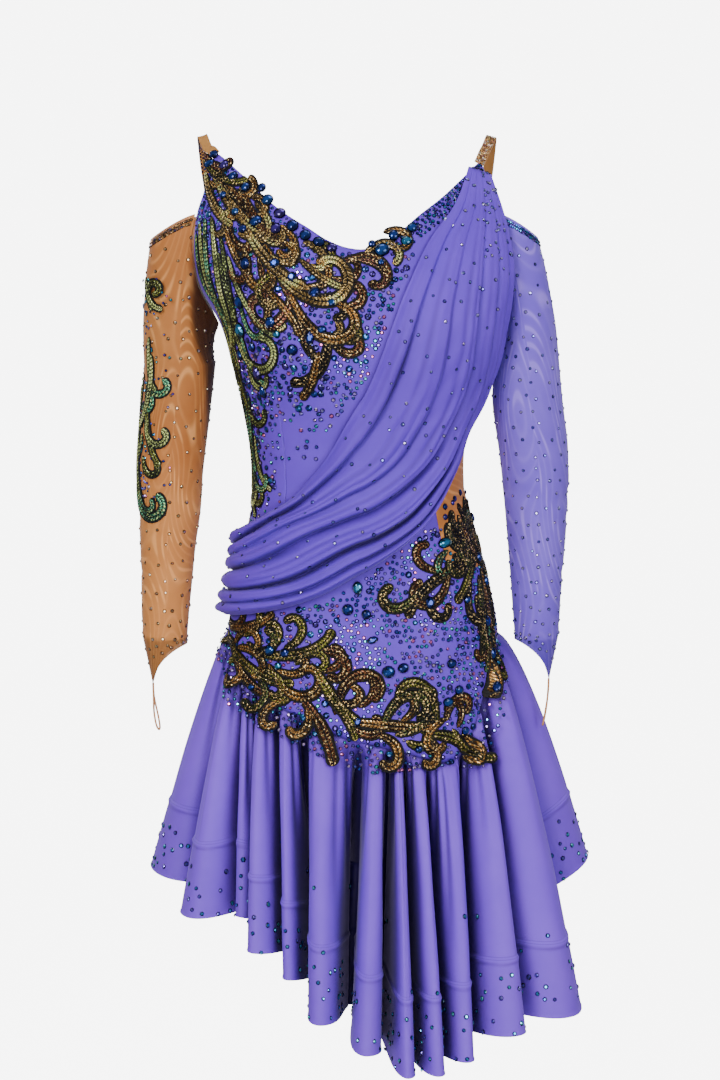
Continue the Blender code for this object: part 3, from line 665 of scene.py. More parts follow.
def gridObject(name, grid, uv, ring, wall, material, crease):
    rows, count = grid.shape[:2]
    faces, corners = [], []
    for j in range(rows - 1):
        for i in range(count if ring else count - 1):
            a, b = j * count + i, j * count + (i + 1) % count
            faces.append((a, a + count, b + count, b))
            corners += [(j, i), (j + 1, i), (j + 1, i + 1), (j, i + 1)]
    obj = meshObject(name, grid.reshape(-1, 3), faces, materials[material])
    mesh = obj.data
    fillLayer(mesh.uv_layers.new(name="flat"), "uv", uv[tuple(np.array(corners).T)])
    if crease is not None:
        fillLayer(mesh.attributes.new("crease", "FLOAT", "POINT"), "value", crease)
    mesh.polygons.foreach_set("use_smooth", [True] * len(mesh.polygons))
    solid = obj.modifiers.new("wall", "SOLIDIFY")
    solid.thickness = wall * mm
    pickOnly(obj)
    bpy.ops.object.modifier_apply(modifier=solid.name)
    obj.select_set(False)
    return obj


def closed(grid, ring):
    return np.concatenate([grid, grid[:, :1]], axis=1) if ring else grid


def runAlong(steps, axis):
    # distances from the start, from the length of each step
    first = np.zeros_like(steps.take([0], axis))
    return np.concatenate([first, np.cumsum(steps, axis=axis)], axis=axis)


def flatMap(grid, ring=False):
    # UV in metres: U along the rows, V up the columns from the last row
    wide = closed(grid, ring)
    u = runAlong(np.linalg.norm(np.diff(wide, axis=1), axis=-1), 1)
    u = np.repeat(u[len(wide) // 2][None, :], len(wide), axis=0)
    drops = np.linalg.norm(np.diff(wide, axis=0), axis=-1)
    return np.stack([u, runAlong(drops[::-1], 0)[::-1]], -1) * mm


def gridArea(grid, ring=False):
    wide = closed(grid, ring)
    a, b = wide[1:, :-1] - wide[:-1, 1:], wide[1:, 1:] - wide[:-1, :-1]
    return float(np.linalg.norm(np.cross(a, b), axis=-1).sum() / 2) * mm * mm


def addSheet(name, grid, cut, ring=False, uv=None, crease=None):
    obj = gridObject(name, grid, flatMap(grid, ring) if uv is None else uv, ring,
                     cut["wall"], cut["material"], crease)
    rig.ride(obj, "root")
    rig.replaces(obj, cut["node"])
    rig.slot(obj, cut["slot"])
    print("cloth", name, "area", round(gridArea(grid, ring), 4), "m2,",
          len(obj.data.polygons), "faces")
    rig.sheet(obj, flat=cut["flat"], held=cut["held"], rests_on=cut["restsOn"],
             area=cut.get("area"))


# body panels
def edgeShares(width):
    # places across a panel: close together by both seams, even between them
    near, room = body["nearSeam"], body["seamRoom"]
    middle = np.linspace(room, width - room, max(6, int((width - 12) / body["pitch"])))
    return np.concatenate([near, middle, width - np.array(near[::-1])]) / width


def bodySurface(angle, z, out=0.0):
    return onBody(angle, z, out + creases(body["creases"], angle * body["mmPerDegree"], z))


def levels(top, bottom, rows):
    # heights of one edge's rows, the same share of the way in every stretch
    marks = [top] + [body[key] for key in ("underarm", "insertTop", "waist", "insertBottom")
                     if top > body[key] > bottom] + [bottom]
    places = np.linspace(0, len(marks) - 1, rows)
    return np.interp(places, np.arange(len(marks)), marks)


def panelGrid(left, right, top, bottom, leftZ, rightZ, width):
    u = edgeShares(width)[None, :]
    leftZ, rightZ = leftZ[:, None], rightZ[:, None]
    high = top(mix(left(leftZ[0]), right(rightZ[0]), u))
    low = bottom(mix(left(leftZ[-1]), right(rightZ[-1]), u))
    shares = mix((leftZ[0] - leftZ) / (leftZ[0] - leftZ[-1]),
                 (rightZ[0] - rightZ) / (rightZ[0] - rightZ[-1]), u)
    z = mix(high, low, shares)
    angle = mix(left(leftZ), right(rightZ), u)
    side = np.minimum(u, 1 - u) * width
    ends = np.minimum(high - z, z - low)
    near = hill(side, body["dipWidth"]) + hill(ends, body["dipWidth"])
    return bodySurface(angle, z, -body["seamDip"] * near)


def halfSeam(angle, z):
    return seamTurn(np.full(np.shape(z), float(angle)), z, body["seam"] / 2)


def straightEdge(angle, inward):
    return lambda z: angle + inward * halfSeam(angle, z)


def armholeEdge(side, back=False):
    def edge(z):
        angle = np.where(z > body["underarm"], smooth(body["armhole"], z), 90.0)
        angle = angle - halfSeam(90, z)
        return side * (180 - angle if back else angle)
    return edge


def level(height):
    return lambda along: height + 0 * along


def backTop(angle):
    return smooth(body["backNeck"], np.abs(angle))


def sheetCut(node, flat, restsOn, **other):
    # flat: width and length of the cut in metres; "area" where that isn't a rectangle
    return {"node": node, "material": "violetCrepe", "slot": "violet_knit", "wall": 1.1,
            "flat": flat, "held": "stretched", "restsOn": restsOn, **other}


panels = {
    # rows and width: the model's own rows of points, and its width in mm
    "frontPanel": sheetCut("front_panel", (0.245, 0.64), ["skirt_front", "side_front_right"],
                           area=0.118, rows=132, width=230),
    "sideFrontRight": sheetCut("side_front_right", (0.17, 0.60), ["front_panel", "back_panel"],
                               area=0.057, rows=120, width=120),
    "sideFrontLeft": sheetCut("side_front_left", (0.13, 0.27), ["front_panel", "back_panel"],
                              area=0.023, rows=60, width=105),
    "waistInsert": sheetCut("waist_insert", (0.115, 0.19), ["front_panel", "back_panel"],
                            material="skinNet", slot="skin_mesh", rows=50, width=105),
    "sideHipLeft": sheetCut("side_hip_left", (0.13, 0.21), ["front_panel", "back_panel"],
                            area=0.0135, rows=50, width=105),
    "backPanel": sheetCut("back_panel", (0.43, 0.50), ["skirt_back", "side_front_right"],
                          area=0.148, rows=72, width=210),
}


def makeBody():
    right, left = body["princessRight"], body["princessLeft"]
    high, low, gap = body["insertTop"], body["insertBottom"], body["seam"] / 2
    rightTop, leftTop, sideLow = frontNeck(right), frontNeck(left), seamZ(90)
    front, side = straightEdge(left, 1), armholeEdge(1)
    # name, both edges, top and bottom, then where each edge starts and ends
    for name, *lines, firstZ, lastZ in (
            ("frontPanel", straightEdge(right, 1), straightEdge(left, -1), frontNeck, seamZ,
             (rightTop, seamZ(right)), (leftTop, seamZ(left))),
            ("sideFrontRight", armholeEdge(-1), straightEdge(right, -1), frontNeck, seamZ,
             (-19.0, sideLow), (rightTop, seamZ(right))),
            ("sideFrontLeft", front, side, frontNeck, level(high + gap),
             (leftTop, high), (-29.0, high)),
            ("waistInsert", front, side, level(high - gap), level(low + gap),
             (high, low), (high, low)),
            ("sideHipLeft", front, side, level(low - gap), seamZ,
             (low, seamZ(left)), (low, sideLow))):
        cut = panels[name]
        grid = panelGrid(*lines, levels(*firstZ, cut["rows"]), levels(*lastZ, cut["rows"]),
                         cut["width"])
        addSheet(name, grid, cut)

    # the back is one piece: its two halves meet without a seam
    cut, trim = panels["backPanel"], len(body["nearSeam"])
    side = levels(float(body["armTop"]), sideLow, cut["rows"])
    middle = mix(backTop(180.0), seamZ(180.0), (side[0] - side) / (side[0] - side[-1]))
    near = panelGrid(armholeEdge(1, True), level(180.0), backTop, seamZ, side, middle,
                     cut["width"])
    far = panelGrid(level(-180.0), armholeEdge(-1, True), backTop, seamZ, middle, side,
                    cut["width"])
    addSheet("backPanel", np.concatenate([near[:, :-trim], far[:, trim:]], axis=1), cut)


makeBody()


# draped sash
sash = {
    # along, upper angle, upper z, lower angle, lower z, upper lift, lower lift, fold height
    "rows": [
        (0.00, 50, -34, 68, -42, 2.1, 2.1, 0.4), (0.07, 39, -74, 71, -84, 3.6, 6.5, 1.8),
        (0.15, 26, -112, 71, -128, 4.6, 11.0, 3.5), (0.24, 17, -158, 71, -172, 4.8, 12.0, 6.0),
        (0.33, 10, -204, 73, -214, 4.8, 11.0, 8.5), (0.42, 4, -251, 71, -257, 5.2, 7.0, 11.0),
        (0.51, -3, -296, 64, -305, 6.0, 5.6, 11.0), (0.60, -14, -342, 54, -354, 6.4, 6.0, 12.0),
        (0.68, -32, -381, 34, -404, 6.4, 6.4, 12.0), (0.76, -50, -401, 8, -447, 6.2, 6.2, 12.5),
        (0.84, -66, -414, -16, -487, 6.2, 6.2, 13.5), (0.92, -80, -424, -46, -508, 7.0, 7.0, 14.0),
        (1.00, -93, -430, -92, -521, 4.6, 4.6, 12.5),
    ],
    # place across at the shoulder, bust, waist, low waist and hip; depth kept
    "grooves": [
        (0.14, 0.13, 0.13, 0.11, 0.20, 0.8), (0.31, 0.36, 0.45, 0.27, 0.33, 0.5),
        (0.50, 0.60, 0.70, 0.47, 0.48, 1.0), (0.70, 0.78, 0.88, 0.78, 0.70, 1.0),
        (0.86, 0.90, 0.95, 0.91, 0.86, 0.6),
    ],
    # finer folds between them: place across at the same five stations, depth, width, start, end
    "folds": [
        (0.07, 0.06, 0.06, 0.05, 0.09, 1.6, 0.020, 0.10, 1.02),
        (0.21, 0.23, 0.28, 0.18, 0.26, 2.6, 0.024, 0.00, 0.86),
        (0.25, 0.30, 0.36, 0.22, 0.29, 1.7, 0.014, 0.45, 1.02),
        (0.40, 0.47, 0.57, 0.36, 0.41, 2.8, 0.026, 0.02, 1.02),
        (0.46, 0.54, 0.64, 0.42, 0.45, 1.5, 0.014, 0.00, 0.70),
        (0.60, 0.69, 0.79, 0.62, 0.58, 2.8, 0.026, 0.04, 0.96),
        (0.65, 0.73, 0.83, 0.70, 0.64, 1.6, 0.015, 0.30, 1.02),
        (0.78, 0.84, 0.92, 0.85, 0.78, 2.0, 0.020, 0.00, 1.02),
        (0.93, 0.95, 0.975, 0.96, 0.94, 1.2, 0.013, 0.05, 0.90),
    ],
    "marks": (0.0, 0.33, 0.55, 0.76, 1.0), "points": 150,
    "cut": sheetCut("drape_sash", (0.62, 0.24),
                    ["front_panel", "side_front_right", "side_front_left"],
                    area=0.115, wall=1.0, held="draped"),
}


def sashPoint(along, place, fold):
    upper, upperZ, lower, lowerZ, near, far = (smooth(sash["rows"], along, k) for k in range(1, 7))
    return onBody(mix(upper, lower, place), mix(upperZ, lowerZ, place),
                  mix(near, far, place) + fold)


def foldLine(row, along):
    # where a groove or a fold lies across the sash
    return smooth(list(zip(sash["marks"], row[:5])), along)


def sashFold(along, place):
    # height of the cloth over its base: main ridges, then the finer folds
    along, place = np.broadcast_arrays(np.asarray(along, float), np.asarray(place, float))
    height = smooth(sash["rows"], along, 7)
    grooves = [np.zeros(along.shape)] + [foldLine(row, along) for row in sash["grooves"]] \
        + [np.ones(along.shape)]
    depths = [1.0] + [row[5] for row in sash["grooves"]] + [1.0]
    fold = np.zeros(along.shape)
    for low, high, depth, nextDepth in zip(grooves, grooves[1:], depths, depths[1:]):
        q = np.clip((place - low) / (high - low), 0, 1)
        floor = height * (1 - mix(depth, nextDepth, q))
        # a roll that rises slowly and drops steeply into the crease below it
        roll = step01(q, 0.0, 0.62) ** 0.8 * (1 - step01(q, 0.86, 1.0)) ** 0.7
        plump = np.sin(np.pi * q) ** 0.55
        ridge = mix(0.86 * roll + 0.14 * plump, plump, step01(along, 0.80, 0.97))
        fold = np.where((place >= low) & (place <= high),
                        floor + (height - floor) * np.clip(ridge, 0, 1.04), fold)
    scale = np.clip(height / 11, 0.25, 1.1) * (0.60 - 0.3 * step01(along, 0.84, 0.97))
    for row in sash["folds"]:
        centre = foldLine(row, along)
        depth, width, start, end = row[5:]
        centre = centre + 0.006 * np.sin(along * 23 + centre * 40)
        reach = step01(along, start - 0.04, start + 0.12) \
            * (1 - step01(along, end - 0.16, end + 0.02))
        fold = fold - depth * scale * reach * hill(place - centre, width)
        fold = fold + 0.45 * depth * scale * reach * hill(place - centre - 1.8 * width, width)
    fold = fold * (0.35 + 0.65 * step01(np.minimum(place, 1 - place), 0.0, 0.035))
    return fold + 0.35 * np.sin(along * 61 + place * 37) * step01(height, 2, 9)


def sashSurface(along, place, out=0.0):
    return sashPoint(along, place, np.maximum(sashFold(along, place), -1.2) + out)


def makeSash():
    along = np.linspace(0, 1, sash["points"])[:, None]
    fine = np.linspace(0, 1, sash["points"])
    place = np.concatenate([[0.0, 0.003, 0.008], fine[2:-2], [0.992, 0.997, 1.0]])[None, :]
    grid = sashSurface(along, place)
    # the cloth is in its own shade down in each crease, most where the sash crosses the waist
    shade = np.zeros(np.broadcast_shapes(along.shape, place.shape))
    for row in sash["grooves"]:
        centre = foldLine(row, along)
        strength = row[5] * step01(along, 0.16, 0.42) * (1 - 0.72 * step01(along, 0.66, 0.9))
        width = np.where(place < centre, 0.030, 0.011) * (1 - 0.35 * step01(along, 0.6, 0.9))
        shade += 1.05 * strength * hill(place - centre, width)
    for row in sash["folds"]:
        depth, width, start, end = row[5:]
        reach = step01(along, start, start + 0.2) * (1 - step01(along, end - 0.2, end))
        shade += 0.13 * depth * reach * hill(place - foldLine(row, along), 0.7 * width)
    shade += 0.5 * creaseShade(grid, 8, 5.0) * step01(along, 0.12, 0.5) \
        * (1 - 0.6 * step01(along, 0.7, 0.95))
    shade *= 0.72 + 0.28 * np.sin(along * 17 + place * 9)
    addSheet("drapeSash", grid, sash["cut"], crease=np.clip(shade, 0, 1))


makeSash()


# sleeves
sleeves = {
    "facing": 541.0,
    # z, centre x, centre y, half width, half depth of each ring down the arm
    "right": [
        (-245, -196.5, -2, 39, 38), (-297, -201.5, -4, 38, 37.5), (-358, -207, -8, 36, 36),
        (-403, -208, -13, 34, 34), (-440, -210, -17, 30.5, 31), (-480, -211.5, -21, 28, 29),
        (-515, -213, -25, 26, 27.5), (-540, -213.5, -27, 24.5, 26.5),
    ],
    "left": [
        (-245, 182, -2, 35.5, 37), (-285, 183, -4, 38.5, 38), (-340, 190, -8, 38, 37),
        (-388, 192.5, -12, 35.5, 35), (-437, 193, -17, 31.5, 32), (-475, 193, -21, 28.5, 29.5),
        (-510, 193, -25, 26, 27.5), (-535, 193.5, -27, 24.5, 26),
    ],
    "top": {"right": {"low": -110, "reach": -227, "depth": 38},
            "left": {"low": -108, "reach": 193, "depth": 37}},
    "gap": 1.5, "ease": 4.0, "cuff": {"short": 8, "point": 52, "power": 1.5, "drawIn": 0.42},
    # shares of the length where the top piece ends and where the cuff starts; points round, rows
    "topEnd": 0.26, "cuffStart": 0.88, "round": 90, "rows": 104, "mmPerDegree": 0.6,
    # mm round the arm from its outer side, z, heading, length, depth, width, bow
    "creases": [
        (-20, -360, 14, 76, 1.5, 8, 0.5), (16, -388, -12, 88, 1.7, 8, 0.6),
        (-8, -412, 10, 74, 1.3, 7, 0.4), (22, -330, 30, 60, 1.0, 7, 0.3),
        (-70, -372, -10, 90, 1.8, 9, 0.5), (-96, -398, 8, 80, 1.6, 8, -0.4),
        (78, -380, 10, 84, 1.6, 9, -0.5), (4, -470, -16, 60, 1.0, 6, 0.4),
        (-16, -502, 12, 58, 0.9, 6, 0.3), (12, -528, -8, 50, 0.8, 5, 0.3),
        (-40, -280, 34, 90, 1.1, 9, 0.3), (38, -240, -36, 84, 1.1, 9, 0.3),
        (-60, -200, 62, 100, 1.4, 8, 0.2), (62, -196, -62, 96, 1.3, 8, 0.2),
        (0, -170, 84, 70, 0.8, 8, 0.2),
    ],
    "cuts": {
        "right": sheetCut("sleeve_right", (0.25, 0.50), ["side_front_right", "back_panel"],
                          area=0.096, wall=0.9, material="skinNet", slot="skin_mesh"),
        "left": sheetCut("sleeve_left", (0.25, 0.50), ["side_front_left", "back_panel"],
                         area=0.094, wall=0.9, material="violetNet", slot="violet_mesh"),
    },
}


def armRing(side, z, turn):
    x, y, half, depth = (smooth(sleeves[sideName[side]], z, k) for k in (1, 2, 3, 4))
    s, c = sinCos(turn)
    return np.stack(np.broadcast_arrays(x + side * half * s, y - depth * c, z + 0.0 * s), -1)


def fromArm(table, point):
    # the arm's own outward direction at a point on it
    middle = np.stack([smooth(table, point[..., 2], 1), smooth(table, point[..., 2], 2),
                       point[..., 2]], -1)
    return unit((point - middle) * np.array([1, 1, 0]))


def armTop(side, turn):
    top, high, gap = sleeves["top"][sideName[side]], body["armTop"], sleeves["gap"]
    corner = onBody(side * smooth(body["armhole"], high), high, gap)
    s, c = sinCos(turn)
    free = np.stack([corner[0] + (top["reach"] - corner[0]) * s,
                     mix(-top["depth"], corner[1], np.abs(c)) * power(c, 0.9),
                     mix(high, top["low"], np.clip(s, 0, 1) ** 1.3)], -1)
    q = np.clip((turn - 180) / 180, 0, 1)
    z = mix(high, body["underarm"], np.sin(np.pi * q) ** 1.15)
    angle = smooth(body["armhole"], z)
    sewn = onBody(side * np.where(q > 0.5, angle, 180 - angle), z, gap)
    return np.where((turn <= 180)[:, None], free, sewn)


def sleeveSurface(side, turn, t, out=0.0):
    # t runs from 0 at the top edge to 1 at the cuff's edge
    table, cuff = sleeves[sideName[side]], sleeves["cuff"]
    topEnd, cuffStart = sleeves["topEnd"], sleeves["cuffStart"]
    turn, t = np.broadcast_arrays(np.asarray(turn, float), np.asarray(t, float))
    shape, turn, t = turn.shape, turn.ravel() % 360, t.ravel()
    first, wrist = float(table[0][0]), float(table[-1][0])
    ring0 = armRing(side, np.full(t.shape, first), turn)
    upper = np.clip(t / topEnd, 0, 1)[:, None]
    ease = np.zeros((len(t), 3))
    ease[:, 0] = side * sleeves["ease"] * np.sin(np.pi * upper[:, 0]) * (upper[:, 0] < 1)
    z = mix(first, wrist, np.clip((t - topEnd) / (cuffStart - topEnd), 0, 1))
    point = np.where((t < topEnd)[:, None], mix(armTop(side, turn), ring0, upper) + ease,
                     armRing(side, z, turn))
    x, y = table[-1][1:3]
    share = np.clip((t - cuffStart) / (1 - cuffStart), 0, 1)
    reach = ((1 + sinCos(turn)[0]) / 2) ** cuff["power"]
    drop = (cuff["short"] + (cuff["point"] - cuff["short"]) * reach) * share
    pull = reach * cuff["drawIn"] * share
    point = np.stack([mix(point[:, 0], x, pull), mix(point[:, 1], y, pull),
                      point[:, 2] - drop], -1)
    around = wrapped(90 - turn) * sleeves["mmPerDegree"]
    push = creases(sleeves["creases"], around, point[:, 2]) * step01(t, 0.03, 0.12)
    push *= 1 - 0.6 * step01(t, 0.86, 0.97)
    return (point + fromArm(table, point) * (push + out)[:, None]).reshape(shape + (3,))


def makeSleeve(name, side, paintedShade, upperShade):
    # the first of the two shares is the painted shade on the net's side against the body, the second the painted shade
    # all round its upper part
    turns = np.linspace(0, 360, sleeves["round"], endpoint=False)[None, :]
    t = np.concatenate([[0.0, 0.004], np.linspace(0.012, 0.988, sleeves["rows"]),
                        [0.996, 1.0]])[:, None]
    grid = sleeveSurface(side, turns, t)
    wrap = wrapped(turns)
    # painted shade down the side that faces the body, and all round the upper part
    near = mix(-14, -92, step01(t, 0.10, 0.66))
    inner = (1 - step01(wrap, near - 30, near)) * step01(wrap, -175, -130)
    inner = inner * paintedShade * (1 - step01(t, 0.55, 0.70))
    inner = np.maximum(inner, upperShade * (1 - step01(t, 0.3, 0.62)))
    # the cuff is two layers of net, so it is a little denser
    facing = sleeves["facing"]
    inner = np.maximum(inner, 0.52 * step01(-grid[..., 2], facing - 1, facing + 1))
    if side < 0:
        grid, inner = grid[:, ::-1], inner[:, ::-1]
    addSheet(name, grid, sleeves["cuts"][sideName[side]], ring=True, crease=inner)


makeSleeve("sleeveRight", -1, 1.0, 0.2)
makeSleeve("sleeveLeft", 1, 0.10, 0.04)


# skirt
skirt = {
    # crest angle at the seam, at the hem, hem radius, hem z, fullness, then the groove after it:
    # its angle at the seam, at the hem, and its radius
    "flutes": [
        (-86, -87, 233, -800, 0.97, -74, -65, 172), (-65, -53, 230, -824, 1.00, -58, -45, 148),
        (-53, -40.5, 198, -820, 1.00, -48, -35.5, 150),
        (-42, -30, 224, -846, 1.00, -35, -24.5, 146),
        (-29, -20.5, 216, -872, 1.00, -23, -16.5, 136), (-12, -10, 242, -908, 1.05, -1, -4.5, 132),
        (4, 1.6, 248, -937, 1.05, 8, 7.8, 140), (11, 11.5, 249, -962, 1.00, 14, 15.5, 164),
        (19, 19.5, 247, -964, 1.00, 24, 23.5, 158), (33, 28, 242, -956, 1.00, 43, 33, 150),
        (50, 41, 256, -934, 1.05, 57, 49, 138), (67, 60, 268, -932, 0.98, 80, 75, 146),
        (92, 95, 257, -796, 0.86, 103, 113, 172), (114, 127, 246, -786, 1.00, 124, 138, 172),
        (134, 150, 240, -800, 1.00, 144, 161, 166), (154, 172, 238, -814, 1.00, 165, 183, 164),
        (176, 194, 238, -816, 1.00, 187, 205, 164), (198, 216, 240, -806, 1.00, 210, 227, 168),
        (222, 238, 242, -797, 1.00, 253, 257, 176),
    ],
    "broad": 0.62, "overhang": 0.95, "early": 0.55,
    "tuck": {"in": 2.5, "up": 5.0, "down": 1.6},
    # small gathers: place round (a crest or a groove is 1 step), how far down, depth, width
    "gathers": [
        (0.45, 0.55, 2.4, 0.10), (0.80, 0.42, 1.8, 0.08), (1.55, 0.50, 2.2, 0.14),
        (2.35, 0.38, 2.0, 0.15), (3.50, 0.50, 2.0, 0.16), (4.30, 0.62, 2.4, 0.14),
        (4.70, 0.36, 1.8, 0.12), (5.50, 0.48, 2.0, 0.16), (6.35, 0.60, 2.2, 0.14),
        (7.50, 0.42, 1.8, 0.18), (8.40, 0.66, 2.6, 0.12), (8.72, 0.45, 1.8, 0.10),
        (9.45, 0.58, 2.4, 0.12), (9.70, 0.32, 1.6, 0.08), (10.30, 0.70, 2.8, 0.11),
        (10.62, 0.52, 2.0, 0.09), (11.60, 0.48, 2.2, 0.14), (12.40, 0.64, 2.4, 0.16),
        (13.55, 0.45, 2.0, 0.16), (14.45, 0.60, 2.4, 0.17), (15.50, 0.40, 1.8, 0.18),
        (16.40, 0.66, 2.6, 0.16), (17.45, 0.50, 2.2, 0.12), (17.72, 0.64, 2.4, 0.09),
        (18.35, 0.44, 1.9, 0.08), (18.62, 0.60, 2.4, 0.09), (19.40, 0.52, 2.2, 0.10),
        (19.74, 0.36, 1.7, 0.08), (20.30, 0.62, 2.6, 0.09), (20.64, 0.48, 2.1, 0.08),
        (21.45, 0.56, 2.2, 0.12), (22.35, 0.48, 2.4, 0.08), (22.70, 0.58, 2.4, 0.08),
        (23.42, 0.44, 2.0, 0.09), (24.40, 0.50, 2.4, 0.10), (24.75, 0.36, 1.8, 0.08),
        (26.45, 0.52, 2.4, 0.12), (27.60, 0.42, 2.0, 0.14), (28.40, 0.56, 2.4, 0.12),
        (29.55, 0.44, 2.0, 0.14), (30.42, 0.58, 2.4, 0.12), (31.60, 0.40, 2.0, 0.14),
        (32.40, 0.54, 2.4, 0.12), (33.58, 0.46, 2.0, 0.14), (34.42, 0.58, 2.4, 0.12),
        (35.60, 0.44, 2.0, 0.12), (36.40, 0.52, 2.4, 0.10), (36.75, 0.40, 2.0, 0.08),
    ],
    # how deep the cloth folds in between two flutes, in turn from the wearer's right
    "slots": [8, 10, 13, 9, 12, 14, 11, 15, 13, 12, 14, 10, 9, 12, 9, 11, 10, 12, 9],
    "slotWidth": 0.085,
    "band": {"height": 77.0, "rise": 1.5, "thick": 0.5},
    # from which step round to which, and points for each step
    "span": {"skirtFront": (-1.0, 25.0, 22), "skirtBack": (25.0, 37.0, 20)},
    "rows": 62, "bandRows": 16,
    "cuts": {
        "skirtFront": sheetCut("skirt_front", (1.75, 0.42),
                               ["front_panel", "side_front_right", "side_hip_left"],
                               area=0.5, wall=1.0, material="violetSkirt", held="hung"),
        "skirtBack": sheetCut("skirt_back", (1.1, 0.27), ["back_panel"],
                              area=0.22, wall=1.0, material="violetSkirt", held="hung"),
    },
}


def skirtNodes():
    # crests and grooves in turn, with one more of them at either end
    flutes = skirt["flutes"]
    nodes = []
    for row, after in zip(flutes, flutes[1:] + flutes[:1]):
        nodes.append(row[:5])
        nodes.append((*row[5:], (row[3] + after[3]) / 2, (row[4] + after[4]) / 2))
    nodes = np.array(nodes[-1:] + nodes + nodes[:1], float)
    nodes[0, :2] -= 360
    nodes[-1, :2] += 360
    return nodes


skirtTable = skirtNodes()


def skirtTop(angle, down):
    slope = (seamZ(angle + 1) - seamZ(angle - 1)) * seamTurn(angle, seamZ(angle), 0.5)
    return onBody(angle, seamZ(angle) - down * np.hypot(1, slope), -skirt["tuck"]["in"])


def skirtPlain(s, t):
    # s counts crests (even) and grooves (odd) round from the wearer's right; t is 0 at the seam
    s, t = np.broadcast_arrays(np.asarray(s, float), np.asarray(t, float))
    k = np.clip(np.floor(s).astype(int), -1, len(skirtTable) - 3)
    q = s - k
    a, b = skirtTable[k + 1], skirtTable[k + 2]
    lean = np.where(k % 2 == 0, 1.0, -1.0)
    sway = np.sin(np.pi * q) / np.pi * skirt["broad"] * lean
    back = np.sin(2 * np.pi * q) / (2 * np.pi) * skirt["overhang"]
    wave = (1 - np.cos(np.pi * q)) / 2
    # the angle at the seam, at the hem, and of the plain cone between them
    seam, hem, plain = (mix(a[..., i], b[..., i], place) for i, place in (
        (0, q + sway * 0.6), (1, q + sway + back), (1, q + sway * 0.6)))
    radius, z, full = (mix(a[..., i], b[..., i], wave) for i in (2, 3, 4))
    start = skirtTop(seam, skirt["tuck"]["down"])

    def atHem(angle, distance):
        sine, cosine = sinCos(angle)
        return np.stack([distance * sine, -distance * cosine, z], -1)

    middle = atHem(plain, (a[..., 2] + b[..., 2]) / 2)
    swing = atHem(hem, radius) - middle
    grow = np.clip(t, 0, 1)
    point = start + (middle - start) * (grow ** full)[..., None] \
        + swing * (grow ** skirt["early"])[..., None]
    point[..., 2] = mix(start[..., 2], z, grow)
    return point


def grooveOf(s):
    return np.clip(np.round((s - 1) / 2), -1, len(skirt["slots"]))


def gatherWidth(width, t):
    # a gather widens on its way down
    return width * (0.55 + 0.9 * t)


def skirtSurface(s, t, out=0.0):
    s, t = np.broadcast_arrays(np.asarray(s, float), np.asarray(t, float))
    point = skirtPlain(s, t)
    ds, dt = 0.01, 0.004
    across = skirtPlain(s + ds, t) - skirtPlain(s - ds, t)
    down = skirtPlain(s, np.clip(t - dt, 0, 1)) - skirtPlain(s, np.clip(t + dt, 0, 1))
    normal = unit(np.cross(across, down))
    push = np.zeros(s.shape)
    for place, reach, depth, width in skirt["gathers"]:
        spread = gatherWidth(width, t)
        shape = hill(s - place, spread) - 0.45 * hill(s - place - 1.7 * spread, spread)
        push -= depth * shape * step01(t, -0.01, 0.06) * (1 - step01(t, reach * 0.4, reach + 0.1))
    groove = grooveOf(s).astype(int)
    deep = np.array(skirt["slots"])[groove % len(skirt["slots"])]
    narrow = skirt["slotWidth"] * (1.5 - 0.6 * t)
    push -= deep * np.exp(-np.abs((s - 1 - 2 * groove) / narrow) ** 1.6) \
        * step01(t, 0.0, 0.16) * (1 - 0.55 * step01(t, 0.7, 1.0))
    push += 0.8 * np.sin(s * 9.7 + 2.1 * np.sin(t * 5 + s)) * step01(t, 0.15, 0.5) \
        * (1 - step01(t, 0.62, 0.8)) * 0.5
    length = np.linalg.norm(skirtPlain(s, np.ones(s.shape)) - skirtPlain(s, np.full(s.shape, 0.6)),
                            axis=-1) / 0.4
    # the hem band: a raised seam, double cloth, the stitches' dent and a rolled edge
    fromHem, band = (1 - t) * length, skirt["band"]
    high = band["height"]
    push += band["rise"] * hill(fromHem - high, 2.6)
    push += band["thick"] * (1 - step01(fromHem, high - 1, high + 1))
    push -= 0.2 * hill(fromHem - high - 4.6, 0.9)
    push += 0.7 * hill(fromHem, 1.6)
    return point + normal * (push + out)[..., None], fromHem


def skirtShade(grid, s, t, drop):
    # deep between the flutes and in the gathers the cloth is in its own shade
    down = np.concatenate([[0.0, 0.0], t])[:, None]
    line = np.exp(-np.abs((s - 1 - 2 * grooveOf(s)) / 0.26) ** 1.5)[None, :]
    shade = 0.9 * line * step01(down, 0.0, 0.14) * (1 - 0.6 * step01(down, 0.72, 1.0))
    for place, reach, depth, width in skirt["gathers"]:
        spread = gatherWidth(width, down) * 0.42
        shade = np.maximum(shade, 0.20 * depth * hill(s[None, :] - place, spread)
                           * (1 - step01(down, reach * 0.3, reach + 0.05)))
    shade = shade + 1.2 * creaseShade(grid, 6, 4.2)
    # the hem band is double cloth, sewn along its upper edge; it is painted a little darker, with a painted shadow
    # line just under the raised seam
    band = skirt["band"]["height"]
    shade = np.maximum(shade, 0.10 * (1 - step01(drop, band - 2, band)))
    shade += 0.28 * hill(drop - band + 3.4, 1.3)
    return np.clip(shade, 0, 1)


